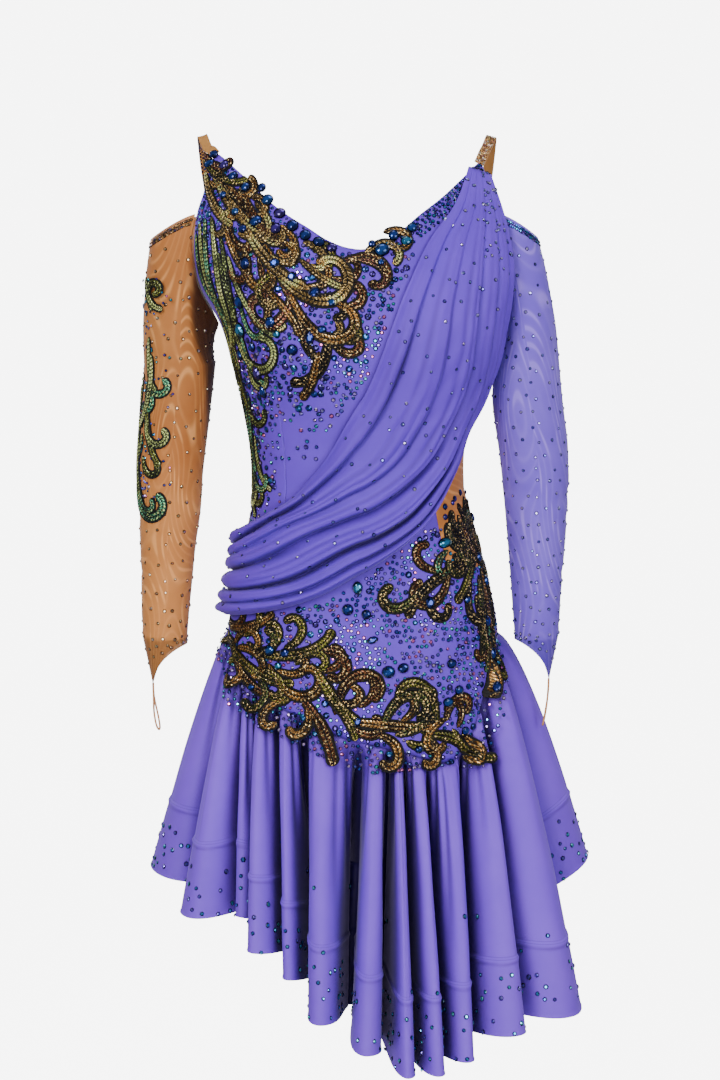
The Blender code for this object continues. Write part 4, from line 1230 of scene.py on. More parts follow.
def makeSkirt(name):
    # rows down the cloth: closest over the upper edge of the band
    t = np.unique(np.round(np.concatenate([
        np.linspace(0.0, 1.0, skirt["rows"]) ** 0.92,
        np.linspace(0.70, 0.82, skirt["bandRows"]), [0.992, 0.997]]), 4))
    first, last, per = skirt["span"][name]
    s = np.linspace(first, last, int((last - first) * per) + 1)
    grid, fromHem = skirtSurface(s[None, :], t[:, None])
    tucked = skirtTop(np.interp(s, np.arange(-1, len(skirtTable) - 1), skirtTable[:, 0]),
                      -skirt["tuck"]["up"])
    grid = np.concatenate([tucked[None], ((grid[0] + tucked) / 2)[None], grid], axis=0)
    drop = np.concatenate([fromHem[:1] + 6, fromHem[:1] + 3, fromHem], axis=0)
    u = runAlong(np.linalg.norm(np.diff(grid[-1], axis=0), axis=-1), 0)
    uv = np.stack([np.repeat(u[None, :], len(grid), axis=0), drop], -1) * mm
    addSheet(name, grid, skirt["cuts"][name], uv=uv, crease=skirtShade(grid, s, t, drop))


for name in skirt["span"]:
    makeSkirt(name)


# many small things as one mesh
def manyObject(name, form, spots, frames, sizes, tints):
    # one copy of a small closed form at every spot; frames hold its side, up and out directions
    verts, faces, paintedFacetLight = form
    local = np.asarray(verts, float)[None] * np.asarray(sizes, float)[:, None, :]
    world = spots[:, None] + np.einsum("nvk,nkj->nvj", local, frames)
    count, each = len(spots), len(verts)
    allFaces = [tuple(i + each * k for i in face) for k in range(count) for face in faces]
    obj = meshObject(name, world.reshape(-1, 3), allFaces, materials["stones"])
    # each face takes its stone's tint, a small random change, and its facet's painted light
    perFace = np.repeat(tints, len(faces), axis=0)
    turns = rand.normal(0, 0.09, (len(perFace), 3)) + 1
    perFace = np.clip(perFace * turns * np.tile(paintedFacetLight, count)[:, None], 0, 1)
    corner = np.repeat(np.column_stack([perFace, np.ones(len(perFace))]),
                       np.tile([len(face) for face in faces], count), axis=0)
    fillLayer(obj.data.color_attributes.new("stoneTint", "FLOAT_COLOR", "CORNER"), "color", corner)
    return obj


def framesOf(surface, a, b, da, db):
    # place, side, up and out directions of a surface at many spots
    side = unit(surface(a + da, b) - surface(a - da, b))
    up = surface(a, b + db) - surface(a, b - db)
    out = unit(np.cross(side, up))
    up = np.cross(out, side)
    return surface(a, b), np.stack([side, up, out], 1)


def turned(frames, angles):
    c, s = np.cos(angles)[:, None], np.sin(angles)[:, None]
    side, up, out = frames[:, 0], frames[:, 1], frames[:, 2]
    return np.stack([side * c + up * s, up * c - side * s, out], 1)


# stones, modelled once and set many times
cuts = {
    # each step up the stone: scale, rise, turn in degrees; below "deep" of its height its facets are painted dark, as
    # shade
    "small": {"sides": 6, "deep": 0.42,
              "steps": [(1.0, 0.12, 0), (0.76, 0.16, 0), (0.60, 0.40, 30)]},
    "round": {"sides": 8, "deep": 0.5,
              "steps": [(1.05, 0.18, 0), (0.92, 0.16, 0), (0.58, 0.42, 22.5), (0.6, 0.1, 22.5)]},
    "fancy": {"sides": 14, "deep": 0.5,
              "steps": [(1.08, 0.16, 0), (0.93, 0.26, 0), (0.90, -0.05, 0), (0.74, 0.40, 12.9),
                        (0.62, 0.12, 12.9)]},
}


def modelStone(cut):
    # a flat disc drawn up and narrowed step by step, then cut into facets
    bpy.ops.object.select_all(action="DESELECT")
    bpy.ops.mesh.primitive_circle_add(vertices=cut["sides"], radius=1.0, fill_type="NGON")
    stone = bpy.context.object
    bpy.ops.object.mode_set(mode="EDIT")
    bpy.ops.mesh.select_mode(type="FACE")
    bpy.ops.mesh.select_all(action="SELECT")
    for scale, rise, turn in cut["steps"]:
        bpy.ops.mesh.extrude_region_move(TRANSFORM_OT_translate={"value": (0, 0, rise)})
        bpy.ops.transform.resize(value=(scale, scale, 1), center_override=(0, 0, 0))
        if turn:
            bpy.ops.transform.rotate(value=math.radians(turn), orient_axis="Z",
                                     center_override=(0, 0, 0))
    bpy.ops.mesh.select_all(action="SELECT")
    bpy.ops.mesh.normals_make_consistent(inside=False)
    bpy.ops.object.mode_set(mode="OBJECT")
    shape = bmesh.new()
    shape.from_mesh(stone.data)
    slanted = [f for f in shape.faces if len(f.verts) == 4 and abs(f.normal.z) > 0.25]
    bmesh.ops.triangulate(shape, faces=slanted)
    shape.normal_update()
    verts = [tuple(v.co) for v in shape.verts]
    top = max(v[2] for v in verts)
    facets = []
    # painted light on each facet: the table painted bright as a highlight, the girdle and low facets painted dark as
    # shade, the crown facets lighter or darker by the way they face, as glints
    for f in shape.faces:
        high = f.calc_center_median().z / top
        spin = math.atan2(f.normal.y, f.normal.x)
        glint = 0.8 + 0.5 * math.sin(spin * 2 + 0.6) + 0.2 * math.sin(spin * 5)
        table = f.normal.z > 0.97 and high > 0.9
        low = f.normal.z < 0.25 or high < cut["deep"]
        corners = [v.index for v in f.verts]
        start = corners.index(min(corners))
        facets.append((tuple(corners[start:] + corners[:start]),
                       0.06 if low else 1.5 if table else round(glint, 3)))
    shape.free()
    bpy.data.objects.remove(stone)
    # Blender's own order of the facets changes from run to run, so they are put in a fixed one
    faces, shade = zip(*sorted(facets))
    return verts, faces, shade


# sequinned scrolls
# each scroll: mm across from centre front, z, heading (0 is to the wearer's left, 90 is up),
# length, bend, curl towards its end, width; its ribbons take the tones of "turns" in turn
scrolls = {
    "appliqueBust": {
        "node": "applique_bust", "material": "goldSequins", "slot": "sequins_gold",
        "turns": ["foil", "gold", "foil", "bronze", "gold", "foil", "bronze", "rose", "gold",
                  "dark", "olive"],
        "rows": [
            (-146, -40, -62, 108, 10, 50, 15), (-128, -84, -22, 70, -10, 255, 9),
            (-114, -90, -62, 100, 8, 36, 15), (-126, -76, -104, 88, 16, 270, 11),
            (-106, -112, -112, 92, 10, 265, 11), (-82, -140, -54, 146, 30, 250, 14),
            (-10, -136, 22, 86, -8, -256, 11), (-62, -164, -112, 100, -10, -255, 13),
            (-66, -166, -76, 128, 30, 235, 13), (-30, -206, -100, 78, 4, -110, 12),
            (-72, -144, 196, 70, 10, 240, 10), (-156, -38, -84, 70, 22, 40, 11),
            (-138, -46, -50, 66, -14, 240, 8), (-150, -70, -40, 58, 12, -230, 8),
            (-122, -58, -58, 84, 6, 24, 8), (-98, -104, -58, 76, 6, -20, 8),
            (-92, -122, -40, 60, -6, 230, 8), (-108, -126, -90, 52, 10, -240, 8),
            (-76, -150, -64, 74, -4, -30, 9), (-58, -160, -8, 62, 10, 200, 9),
            (-46, -176, 24, 60, -14, -235, 8), (-24, -144, 60, 46, 10, 230, 8),
            (16, -126, 40, 58, -20, -200, 9), (36, -104, 12, 46, 8, -240, 8),
            (-52, -196, -50, 54, -8, 220, 9), (-30, -212, -60, 54, 16, 230, 9),
            (-42, -226, -104, 56, 14, -50, 10), (-80, -168, -134, 56, -14, 235, 8),
            (-18, -182, 0, 56, 14, 235, 10), (-156, -18, -62, 44, 30, 130, 9),
            (-146, -30, -40, 40, -20, -220, 8), (-136, -44, -80, 46, 10, 200, 9),
            (-158, -26, -50, 62, 20, 60, 8), (-148, -54, -96, 56, 10, 220, 7),
            (-134, -98, -70, 62, -8, 40, 8), (-118, -104, -30, 44, 8, 235, 7),
            (-96, -128, -84, 70, 10, -40, 8), (-74, -112, -20, 46, -10, -230, 7),
            (-52, -132, -44, 62, 8, 30, 8), (-26, -150, -14, 56, -10, 230, 7),
            (8, -132, -10, 54, 14, -215, 8), (-96, -156, -50, 66, 10, -40, 9),
            (-60, -186, -90, 60, 10, 60, 8), (-24, -212, -20, 40, -10, 235, 8),
            (-98, -72, -48, 66, 8, -230, 8), (-72, -96, -38, 56, -4, -235, 8),
            (-48, -114, -16, 54, -10, -235, 9), (-110, -62, -70, 60, 14, 40, 8),
            (-132, -52, -36, 60, -6, -225, 8), (-90, -86, -96, 56, 12, 235, 8),
        ],
    },
    "appliqueSide": {
        "node": "applique_side", "material": "oliveSequins", "slot": "sequins_olive",
        "turns": ["lime", "teal", "lime", "moss", "lime", "olive", "teal"],
        "rows": [
            (-170, -92, -96, 110, 8, 30, 9), (-160, -88, -98, 150, 14, 0, 9),
            (-150, -86, -88, 142, 0, -30, 9), (-146, -122, -80, 106, -6, -60, 8),
            (-154, -200, -72, 126, 18, 255, 11), (-166, -212, -80, 104, 6, 30, 9),
            (-150, -262, -88, 104, -6, -24, 9), (-152, -334, -84, 78, -6, 40, 8),
            (-178, -104, -100, 92, 10, 60, 7), (-166, -130, -92, 120, 4, 20, 7),
            (-140, -104, -84, 126, -4, -46, 7), (-132, -128, -78, 96, -6, 60, 7),
            (-158, -170, -86, 96, -10, -40, 7), (-142, -196, -84, 82, 12, 60, 7),
            (-172, -176, -94, 90, 6, 20, 8), (-126, -176, -100, 62, -10, 235, 7),
            (-160, -250, -92, 90, 8, -20, 7), (-140, -282, -70, 58, 0, 220, 7),
            (-164, -300, -86, 92, 4, 30, 7), (-148, -366, -74, 56, -6, 200, 7),
            (-136, -276, -94, 84, -8, 40, 7), (-130, -318, -86, 70, 10, 60, 7),
            (-140, -348, -80, 64, 8, 220, 7), (-128, -372, -96, 46, -8, -200, 7),
            (-144, -310, -98, 78, 12, 30, 7), (-134, -236, -80, 60, -6, 215, 7),
        ],
    },
    "appliqueHipFront": {
        "node": "applique_hip_front", "material": "goldSequins", "slot": "sequins_gold",
        "turns": ["olive", "gold", "olive", "bronze", "gold", "olive", "bronze", "gold", "moss"],
        "rows": [
            (-184, -534, -34, 122, -4, 44, 13), (-158, -546, 52, 72, -6, -250, 10),
            (-116, -552, 2, 96, -12, 80, 12), (-66, -552, 24, 88, -4, -265, 12),
            (-104, -560, -62, 112, 20, 262, 13), (-52, -560, -62, 80, 6, 24, 15),
            (-30, -612, 76, 100, 8, -262, 13), (-22, -618, -6, 100, -4, 10, 13),
            (20, -626, 66, 92, 12, -268, 12), (72, -634, -10, 42, 4, -40, 13),
            (90, -618, -150, 64, -4, 262, 11), (80, -624, 98, 90, -24, 255, 12),
            (90, -622, 76, 60, -6, -250, 10), (-176, -530, 8, 84, -18, 60, 10),
            (-140, -534, 20, 66, 14, 235, 9), (-168, -544, -56, 92, 24, 30, 11),
            (-146, -558, -74, 48, 14, -235, 9), (-128, -566, -36, 74, -10, -230, 9),
            (-110, -584, -58, 54, 22, 240, 10), (-84, -596, 206, 50, -14, 240, 9),
            (-86, -544, 26, 62, 10, 235, 9), (-70, -590, -48, 84, -12, -20, 13),
            (-60, -604, -78, 46, 22, -235, 10), (-44, -574, -56, 76, 4, -20, 10),
            (-12, -624, -40, 54, 14, 240, 11), (14, -632, -20, 62, -10, -240, 11),
            (34, -634, 16, 52, -8, 60, 12), (46, -640, -36, 46, 16, 245, 11),
            (72, -638, -56, 46, 16, -235, 10), (98, -630, -62, 52, -10, 90, 10),
            (104, -630, 62, 50, 10, 240, 8), (110, -636, -44, 40, 6, -200, 9),
            (-190, -548, 24, 60, -10, -230, 9), (-186, -522, -14, 70, -20, 220, 10),
            (-150, -548, 4, 70, 14, -240, 10), (-134, -540, -30, 64, 10, 235, 9),
            (-110, -548, 30, 52, -10, 235, 9), (-94, -566, -20, 58, 10, 230, 9),
            (-72, -560, 50, 56, -10, -235, 9), (-48, -566, 10, 52, -14, 230, 9),
            (-36, -590, -40, 56, 10, 235, 9), (-118, -566, -10, 60, 20, -235, 9),
            (-4, -604, 40, 54, -12, 235, 9), (40, -620, 30, 50, 14, 240, 9),
            (58, -612, 96, 48, 10, -235, 8),
        ],
    },
    "appliqueHipLeft": {
        "node": "applique_hip_left", "material": "goldSequins", "slot": "sequins_gold",
        "turns": ["olive", "dark", "moss", "bronze", "dark", "moss", "teal", "dark", "gold"],
        "rows": [
            (150, -418, -116, 92, 8, -30, 12), (136, -450, 192, 112, 16, 46, 12),
            (62, -478, 236, 74, -10, -250, 11), (96, -462, -104, 86, -16, -250, 11),
            (126, -474, -112, 80, 16, 250, 10), (142, -470, -94, 82, 4, 24, 11),
            (128, -446, 100, 72, 10, -240, 10), (146, -430, -58, 104, -34, -10, 9),
            (116, -404, -70, 66, 10, 30, 9), (134, -396, -84, 70, -12, 220, 9),
            (104, -420, -30, 66, -20, 230, 8), (128, -432, -98, 66, 10, -220, 9),
            (84, -462, 164, 56, 14, -235, 9), (70, -486, -86, 52, 10, 235, 9),
            (150, -480, -100, 76, -8, 20, 9), (158, -500, -96, 76, 12, -30, 9),
            (140, -508, -104, 58, 14, 235, 8), (154, -540, -88, 64, 6, -60, 9),
            (146, -560, -70, 46, -10, 230, 8), (118, -392, -60, 56, 10, 230, 8),
            (136, -386, -96, 66, -10, -225, 9), (154, -398, -100, 70, 8, 40, 9),
            (146, -410, 200, 56, -14, 235, 8), (108, -430, -74, 60, -10, 235, 9),
            (160, -436, -104, 66, 10, 220, 8), (118, -450, 40, 52, 10, 235, 8),
            (150, -462, -86, 70, -8, 30, 9), (164, -470, -90, 60, 6, -220, 8),
            (132, -490, -80, 56, -10, 225, 8), (164, -516, -96, 60, 8, 30, 8),
            (146, -530, -70, 50, -12, -230, 8), (132, -408, -120, 60, 14, -235, 9),
            (100, -410, -94, 52, -10, 235, 8), (96, -440, -150, 44, 10, 235, 8),
            (116, -426, -60, 46, -14, -230, 8), (142, -424, -76, 52, 10, 230, 8),
        ],
    },
    "appliqueSleeve": {
        "node": "applique_sleeve", "material": "oliveSequins", "slot": "sequins_olive",
        "turns": ["lime", "lime", "teal", "olive"],
        "rows": [
            (6, -302, 84, 66, 10, 285, 10), (10, -296, -92, 112, 6, 24, 11),
            (6, -370, -68, 90, -24, 265, 11), (30, -186, 120, 60, 0, -350, 8),
            (20, -150, -84, 46, 10, 80, 7), (28, -232, -84, 84, -10, -40, 8),
            (28, -246, -96, 60, 14, 265, 8), (24, -262, -88, 96, 8, 30, 8),
            (27, -300, -84, 62, -10, 275, 8), (20, -318, -100, 66, 20, -215, 8),
            (29, -268, -66, 44, 10, -255, 7), (25, -342, -76, 46, -10, 275, 7),
            (14, -254, -100, 90, -8, 20, 7), (25, -214, -96, 62, 12, 40, 7),
            (20, -380, -84, 46, 6, 250, 7),
        ],
    },
}
ribbon = {
    "curlLaw": 2.2, "lift": 0.3, "backing": 1.1,
    # across the ribbon from -1 to 1, and height: dark cords at both edges, two domed rows
    "section": [(-1.0, 0.0), (-0.92, 1.2), (-0.74, 0.6), (-0.56, 1.5), (-0.33, 1.8), (-0.11, 1.2),
                (0.0, 0.4), (0.11, 1.2), (0.33, 1.8), (0.56, 1.5), (0.74, 0.6), (0.92, 1.2),
                (1.0, 0.0)],
    "tones": {
        "foil": (255, 206, 116), "gold": (188, 132, 66), "bronze": (122, 74, 44),
        "olive": (126, 126, 48), "moss": (74, 86, 42), "dark": (40, 36, 30),
        "lime": (240, 255, 150), "teal": (108, 196, 148), "rose": (150, 92, 74),
    },
}


def scrollLine(row, count):
    x, z, heading, length, bend, curl, width = row
    width = width - 0.22 * max(width - 8, 0)
    fine = 6  # steps between two points that are kept
    place = 1 - (1 - np.linspace(0, 1, count * fine + 1)) ** 1.2
    turn = np.radians(heading + bend * place + curl * place ** ribbon["curlLaw"])
    step = np.diff(place) * length
    middle = (turn[1:] + turn[:-1]) / 2
    xs = x + runAlong(np.cos(middle) * step, 0)
    zs = z + runAlong(np.sin(middle) * step, 0)
    end, run = place[::fine], place[::fine] * length
    half = width / 2 * (0.30 + 0.72 * np.sin(np.pi * (0.08 + 0.77 * end))
                        + 0.22 * hill(length - run - width * 0.45, width * 0.4))
    # both ends are round
    half = half * np.sqrt(np.clip(1 - (1 - np.clip((length - run) / (0.45 * width), 0, 1)) ** 2,
                                  0.004, 1))
    half = half * np.clip(run / (0.5 * width) + 0.06, 0, 1) ** 0.6
    return xs[::fine], zs[::fine], turn[::fine], half, run


headGrid = {"low": -780, "row": 4, "rows": 80, "first": -110, "column": 2, "columns": 110}


def headPlace(angle, z):
    return (z - headGrid["low"]) / headGrid["row"], (angle - headGrid["first"]) / headGrid["column"]


def aroundEach(table):
    # every place's own value and those of the eight round it
    return [np.roll(np.roll(table, i, 0), j, 1) for i in (-1, 0, 1) for j in (-1, 0, 1)]


def skirtHead():
    # how far the skirt's gathered head stands out from the body, by angle and height
    s, t = np.meshgrid(np.arange(-1, 25, 0.04), np.linspace(0.0, 0.5, 90))
    points = skirtSurface(s, t)[0].reshape(-1, 3)
    centre, half, front = (smooth(body["sections"], points[:, 2], k) for k in (1, 2, 3))
    a = power((points[:, 0] - centre) / half, 1 / body["power"])
    b = power(-points[:, 1] / front, 1 / body["power"])
    angle = np.degrees(np.arctan2(a, b))
    far = np.linalg.norm(points - onBody(angle, points[:, 2]), axis=-1)
    size = headGrid["rows"], headGrid["columns"]
    spot = tuple(np.clip(place.astype(int), 0, count - 1)
                 for place, count in zip(headPlace(angle, points[:, 2]), size))
    table = np.zeros(size)
    np.maximum.at(table, spot, np.where(np.hypot(a, b) > 1, far, 0))
    return np.mean(aroundEach(np.max(aroundEach(table), axis=0)), axis=0)


headTable = skirtHead()


def onGarment(across, z, out):
    # the body's surface, and below the hip seam the skirt's head
    angle = angleOf(across, z)
    row, column = headPlace(angle, np.broadcast_to(z, angle.shape))
    head = between(headTable, row - 0.5, column - 0.5) * step01(seamZ(angle) - z, -6, 4)
    return onBody(angle, z, out + np.minimum(head, 26))


def onSleeve(around, z, out):
    point = armRing(-1, z, 90 - np.degrees(np.asarray(around, float) / 37.0))
    return point + fromArm(sleeves["right"], point) * np.asarray(out)[..., None]


def makeScrolls(name):
    piece = scrolls[name]
    place = onSleeve if name == "appliqueSleeve" else onGarment
    verts, faces, corners, toneAndPaintedLight = [], [], [], []
    across, high = np.array(ribbon["section"]).T
    u = np.concatenate([[0.0, 0.0], (across + 1) / 2, [1.0, 1.0]])
    for k, row in enumerate(piece["rows"]):
        count = max(12, int(row[3] / (scrollStep / mm)))
        xs, zs, turn, half, run = scrollLine(row, count)
        lift = ribbon["lift"] + 0.35 * (k % 3) + 0.25 * (row[6] < 9)
        ribs = np.where(np.arange(count + 1) % 2 == 0, 1.0, 0.5)
        dome = np.where(np.abs(across) < 0.7, ribs[:, None], 1.0)
        height = high[None, :] * dome * np.clip(half / 5.0, 0.15, 1.25)[:, None]
        reach = half + ribbon["backing"] * np.clip(half / 3, 0, 1)
        wide = np.column_stack([-reach, across * half[:, None], reach])
        rise = np.pad(height, ((0, 0), (1, 1))) + 0.12
        px = xs[:, None] - np.sin(turn)[:, None] * wide
        pz = zs[:, None] + np.cos(turn)[:, None] * wide
        top = place(px, pz, lift + rise)
        low = place(px[:, [0, -1]], pz[:, [0, -1]], np.full((count + 1, 2), lift - 0.8))
        grid = np.concatenate([low[:, :1], top, low[:, 1:]], axis=1)
        points, base = grid.shape[1], len(verts)
        verts += grid.reshape(-1, 3).tolist()
        for j in range(count):
            for i in range(points):
                n = (i + 1) % points
                a, b = base + j * points + i, base + j * points + n
                faces.append((a, b, b + points, a + points))
                un = u[n] if n else u[i]
                corners += [(u[i], j), (un, j), (un, j + 1), (u[i], j + 1)]
        for ring, end in ((reversed(range(points)), 0), (range(points), count)):
            faces.append(tuple(base + end * points + i for i in ring))
            corners += [(0.0, end)] * points
        toneName = piece["turns"][k % len(piece["turns"])]
        tint = np.array(tone(*ribbon["tones"][toneName]))
        # painted light: each ribbon is painted bright where its sequins would catch the light and near dark in others,
        # and the foil ribbons get sharp painted highlights
        phase = 2.4 * k
        glow = 0.68 + 0.52 * np.sin(run / 8.5 + phase) + 0.25 * np.sin(run / 3.3 + 2 * phase)
        glow = np.clip(glow, 0.16 if k % 3 else 0.42, 1.5)
        if toneName == "foil":
            glow = 0.26 + 1.9 * (0.5 + 0.5 * np.sin(run / 9 + phase)) ** 4
        toneAndPaintedLight += np.repeat(np.minimum(tint[None, :] * glow[:count, None], 1.0),
                            4 * points, axis=0).tolist()
        toneAndPaintedLight += [(tint * 0.3).tolist()] * (len(corners) - len(toneAndPaintedLight))
    obj = meshObject(name, verts, faces, materials[piece["material"]])
    fillLayer(obj.data.uv_layers.new(name="flat"), "uv", np.array(corners) * [1.0, scrollStep])
    fillLayer(obj.data.color_attributes.new("sequinTint", "FLOAT_COLOR", "CORNER"), "color", toneAndPaintedLight)
    pickOnly(obj)
    bpy.ops.object.mode_set(mode="EDIT")
    bpy.ops.mesh.select_all(action="SELECT")
    bpy.ops.mesh.normals_make_consistent(inside=False)
    bpy.ops.object.mode_set(mode="OBJECT")
    bpy.ops.object.shade_smooth_by_angle(angle=math.radians(32))
    obj.select_set(False)
    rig.ride(obj, "root")
    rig.replaces(obj, piece["node"])
    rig.slot(obj, piece["slot"])
    print("scrolls", name, len(faces), "faces")


for name in scrolls:
    makeScrolls(name)


# straps
straps = {
    # share of the way from front to back, angle, z, width
    "path": [(0, 59, -29.5, 11), (0.2, 68, -14, 11), (0.42, 84, 0, 11), (0.6, 99, -8, 11),
             (0.8, 112, -42, 11), (1.0, 123.5, -94.5, 11)],
    "rightRise": [(0, 9.5), (0.1, 6), (0.2, 0), (1, 0)],
    "points": 48, "rows": 4, "pitch": 0.0205,
    "flat": (0.011, 0.165), "wall": 1.3,
}


def strapSurface(side, t, across, out=0.0):
    # across runs from -1 to 1 over the width
    t = np.clip(t, 0.0, 1.0)

    def middle(t):
        angle, z = (smooth(straps["path"], t, k) for k in (1, 2))
        if side < 0:
            z = z + np.interp(t, *zip(*straps["rightRise"]))
        return onBody(side * angle, z)

    along = unit(middle(t + 0.03) - middle(t - 0.03))
    # the band faces forward in front, up over the shoulder and back behind it
    over = np.pi * np.clip(t / 0.84, 0, 1)
    tilt = np.stack([side * (0.15 + 0.25 * np.sin(np.pi * t)), -np.cos(over),
                     0.35 + 0.8 * np.sin(over)], -1)
    sideways = unit(np.cross(along, unit(tilt)))
    reach = across * smooth(straps["path"], t, 3) / 2
    face = unit(np.cross(sideways, along))
    return middle(t) + sideways * reach[..., None] - face * np.asarray(out)[..., None]


def makeStrap(name, side, node, front):
    t, across = np.broadcast_arrays(np.linspace(0, 1, straps["points"])[:, None],
                                    np.linspace(-1, 1, 7)[None, :])
    grid = strapSurface(side, t, across, 0.5 * (1 - across ** 4) - 0.5)
    if side > 0:
        grid = grid[:, ::-1]
    addSheet(name, grid, sheetCut(node, straps["flat"], [front, "back_panel"],
                                  wall=straps["wall"], material="strapCloth", slot="strap_stones"))


makeStrap("strapRight", -1, "strap_right", "side_front_right")
makeStrap("strapLeft", 1, "strap_left", "side_front_left")


# elastic finger loops
loops = {"twist": {"right": 58, "left": 12}, "length": 52, "width": 8, "diameter": 2.2,
         "segments": 32}


def makeLoop(name, side, node):
    wrist, cuff = sleeves[sideName[side]][-1], sleeves["cuff"]
    tip = armRing(side, np.array(float(wrist[0])), np.array(90.0))
    # both ends start just inside the cuff's point
    tip = np.array([mix(tip[0], wrist[1], cuff["drawIn"]) - side * 0.55, tip[1],
                    tip[2] - cuff["point"] - 0.4])
    turn = np.linspace(0, math.pi, loops["segments"] + 1)
    swell = np.sin(turn)
    wide = np.cos(turn) * (loops["width"] / 2 * swell ** 2 + 1.2)
    twist = np.radians(loops["twist"][sideName[side]]) * step01(np.sin(turn), 0.1, 0.6)
    path = np.stack([tip[0] - side * 6 * swell ** 1.5 + wide * np.sin(twist),
                     tip[1] + wide * np.cos(twist),
                     tip[2] - loops["length"] * swell ** 0.8], -1)
    curve = bpy.data.curves.new(name, "CURVE")
    curve.dimensions = "3D"
    spline = curve.splines.new("POLY")
    spline.points.add(len(path) - 1)
    for point, place in zip(spline.points, path * mm):
        point.co = (*place, 1)
    curve.bevel_depth = loops["diameter"] / 2 * mm
    curve.bevel_resolution = 3
    curve.use_fill_caps = True
    curve.materials.append(materials["elastic"])
    obj = newObject(name, curve)
    length = float(np.linalg.norm(np.diff(path, axis=0), axis=1).sum()) * mm
    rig.ride(obj, "root")
    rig.replaces(obj, node)
    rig.slot(obj, "elastic")
    print("loop", name, "length", round(length, 4))
    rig.cord(obj, exit=path[0] * mm, length=length, diameter=loops["diameter"] * mm,
            far_end="object", stiffness="limp", lay="hanging")


makeLoop("fingerLoopRight", -1, "finger_loop_right")
makeLoop("fingerLoopLeft", 1, "finger_loop_left")


# stones
tints = {
    "blues": [(0.012, 0.03, 0.20), (0.015, 0.05, 0.26), (0.015, 0.08, 0.32), (0.06, 0.03, 0.26),
              (0.03, 0.22, 0.40), (0.13, 0.06, 0.40)],
    "navy": [(0.010, 0.025, 0.16), (0.015, 0.05, 0.28), (0.03, 0.02, 0.18), (0.02, 0.13, 0.36),
             (0.06, 0.03, 0.26)],
    "mixed": [(0.03, 0.08, 0.36), (0.05, 0.30, 0.55), (0.14, 0.07, 0.45), (0.62, 0.16, 0.42),
              (0.06, 0.44, 0.48), (0.10, 0.12, 0.50), (0.30, 0.22, 0.66), (0.55, 0.40, 0.75),
              (0.03, 0.06, 0.28)],
    "pale": [(0.30, 0.28, 0.66), (0.16, 0.18, 0.50), (0.46, 0.40, 0.74), (0.10, 0.10, 0.40)],
    "aqua": [(0.05, 0.30, 0.52), (0.04, 0.16, 0.44), (0.10, 0.46, 0.60), (0.12, 0.10, 0.44)],
    "gold": [(0.55, 0.34, 0.12), (0.34, 0.18, 0.06), (0.75, 0.52, 0.26), (0.42, 0.20, 0.16),
             (0.70, 0.62, 0.50)],
    "rim": [(0.30, 0.15, 0.06), (0.14, 0.07, 0.04), (0.50, 0.30, 0.12), (0.10, 0.08, 0.16)],
    "skin": [(0.50, 0.34, 0.16), (0.34, 0.20, 0.10), (0.66, 0.52, 0.34)],
}
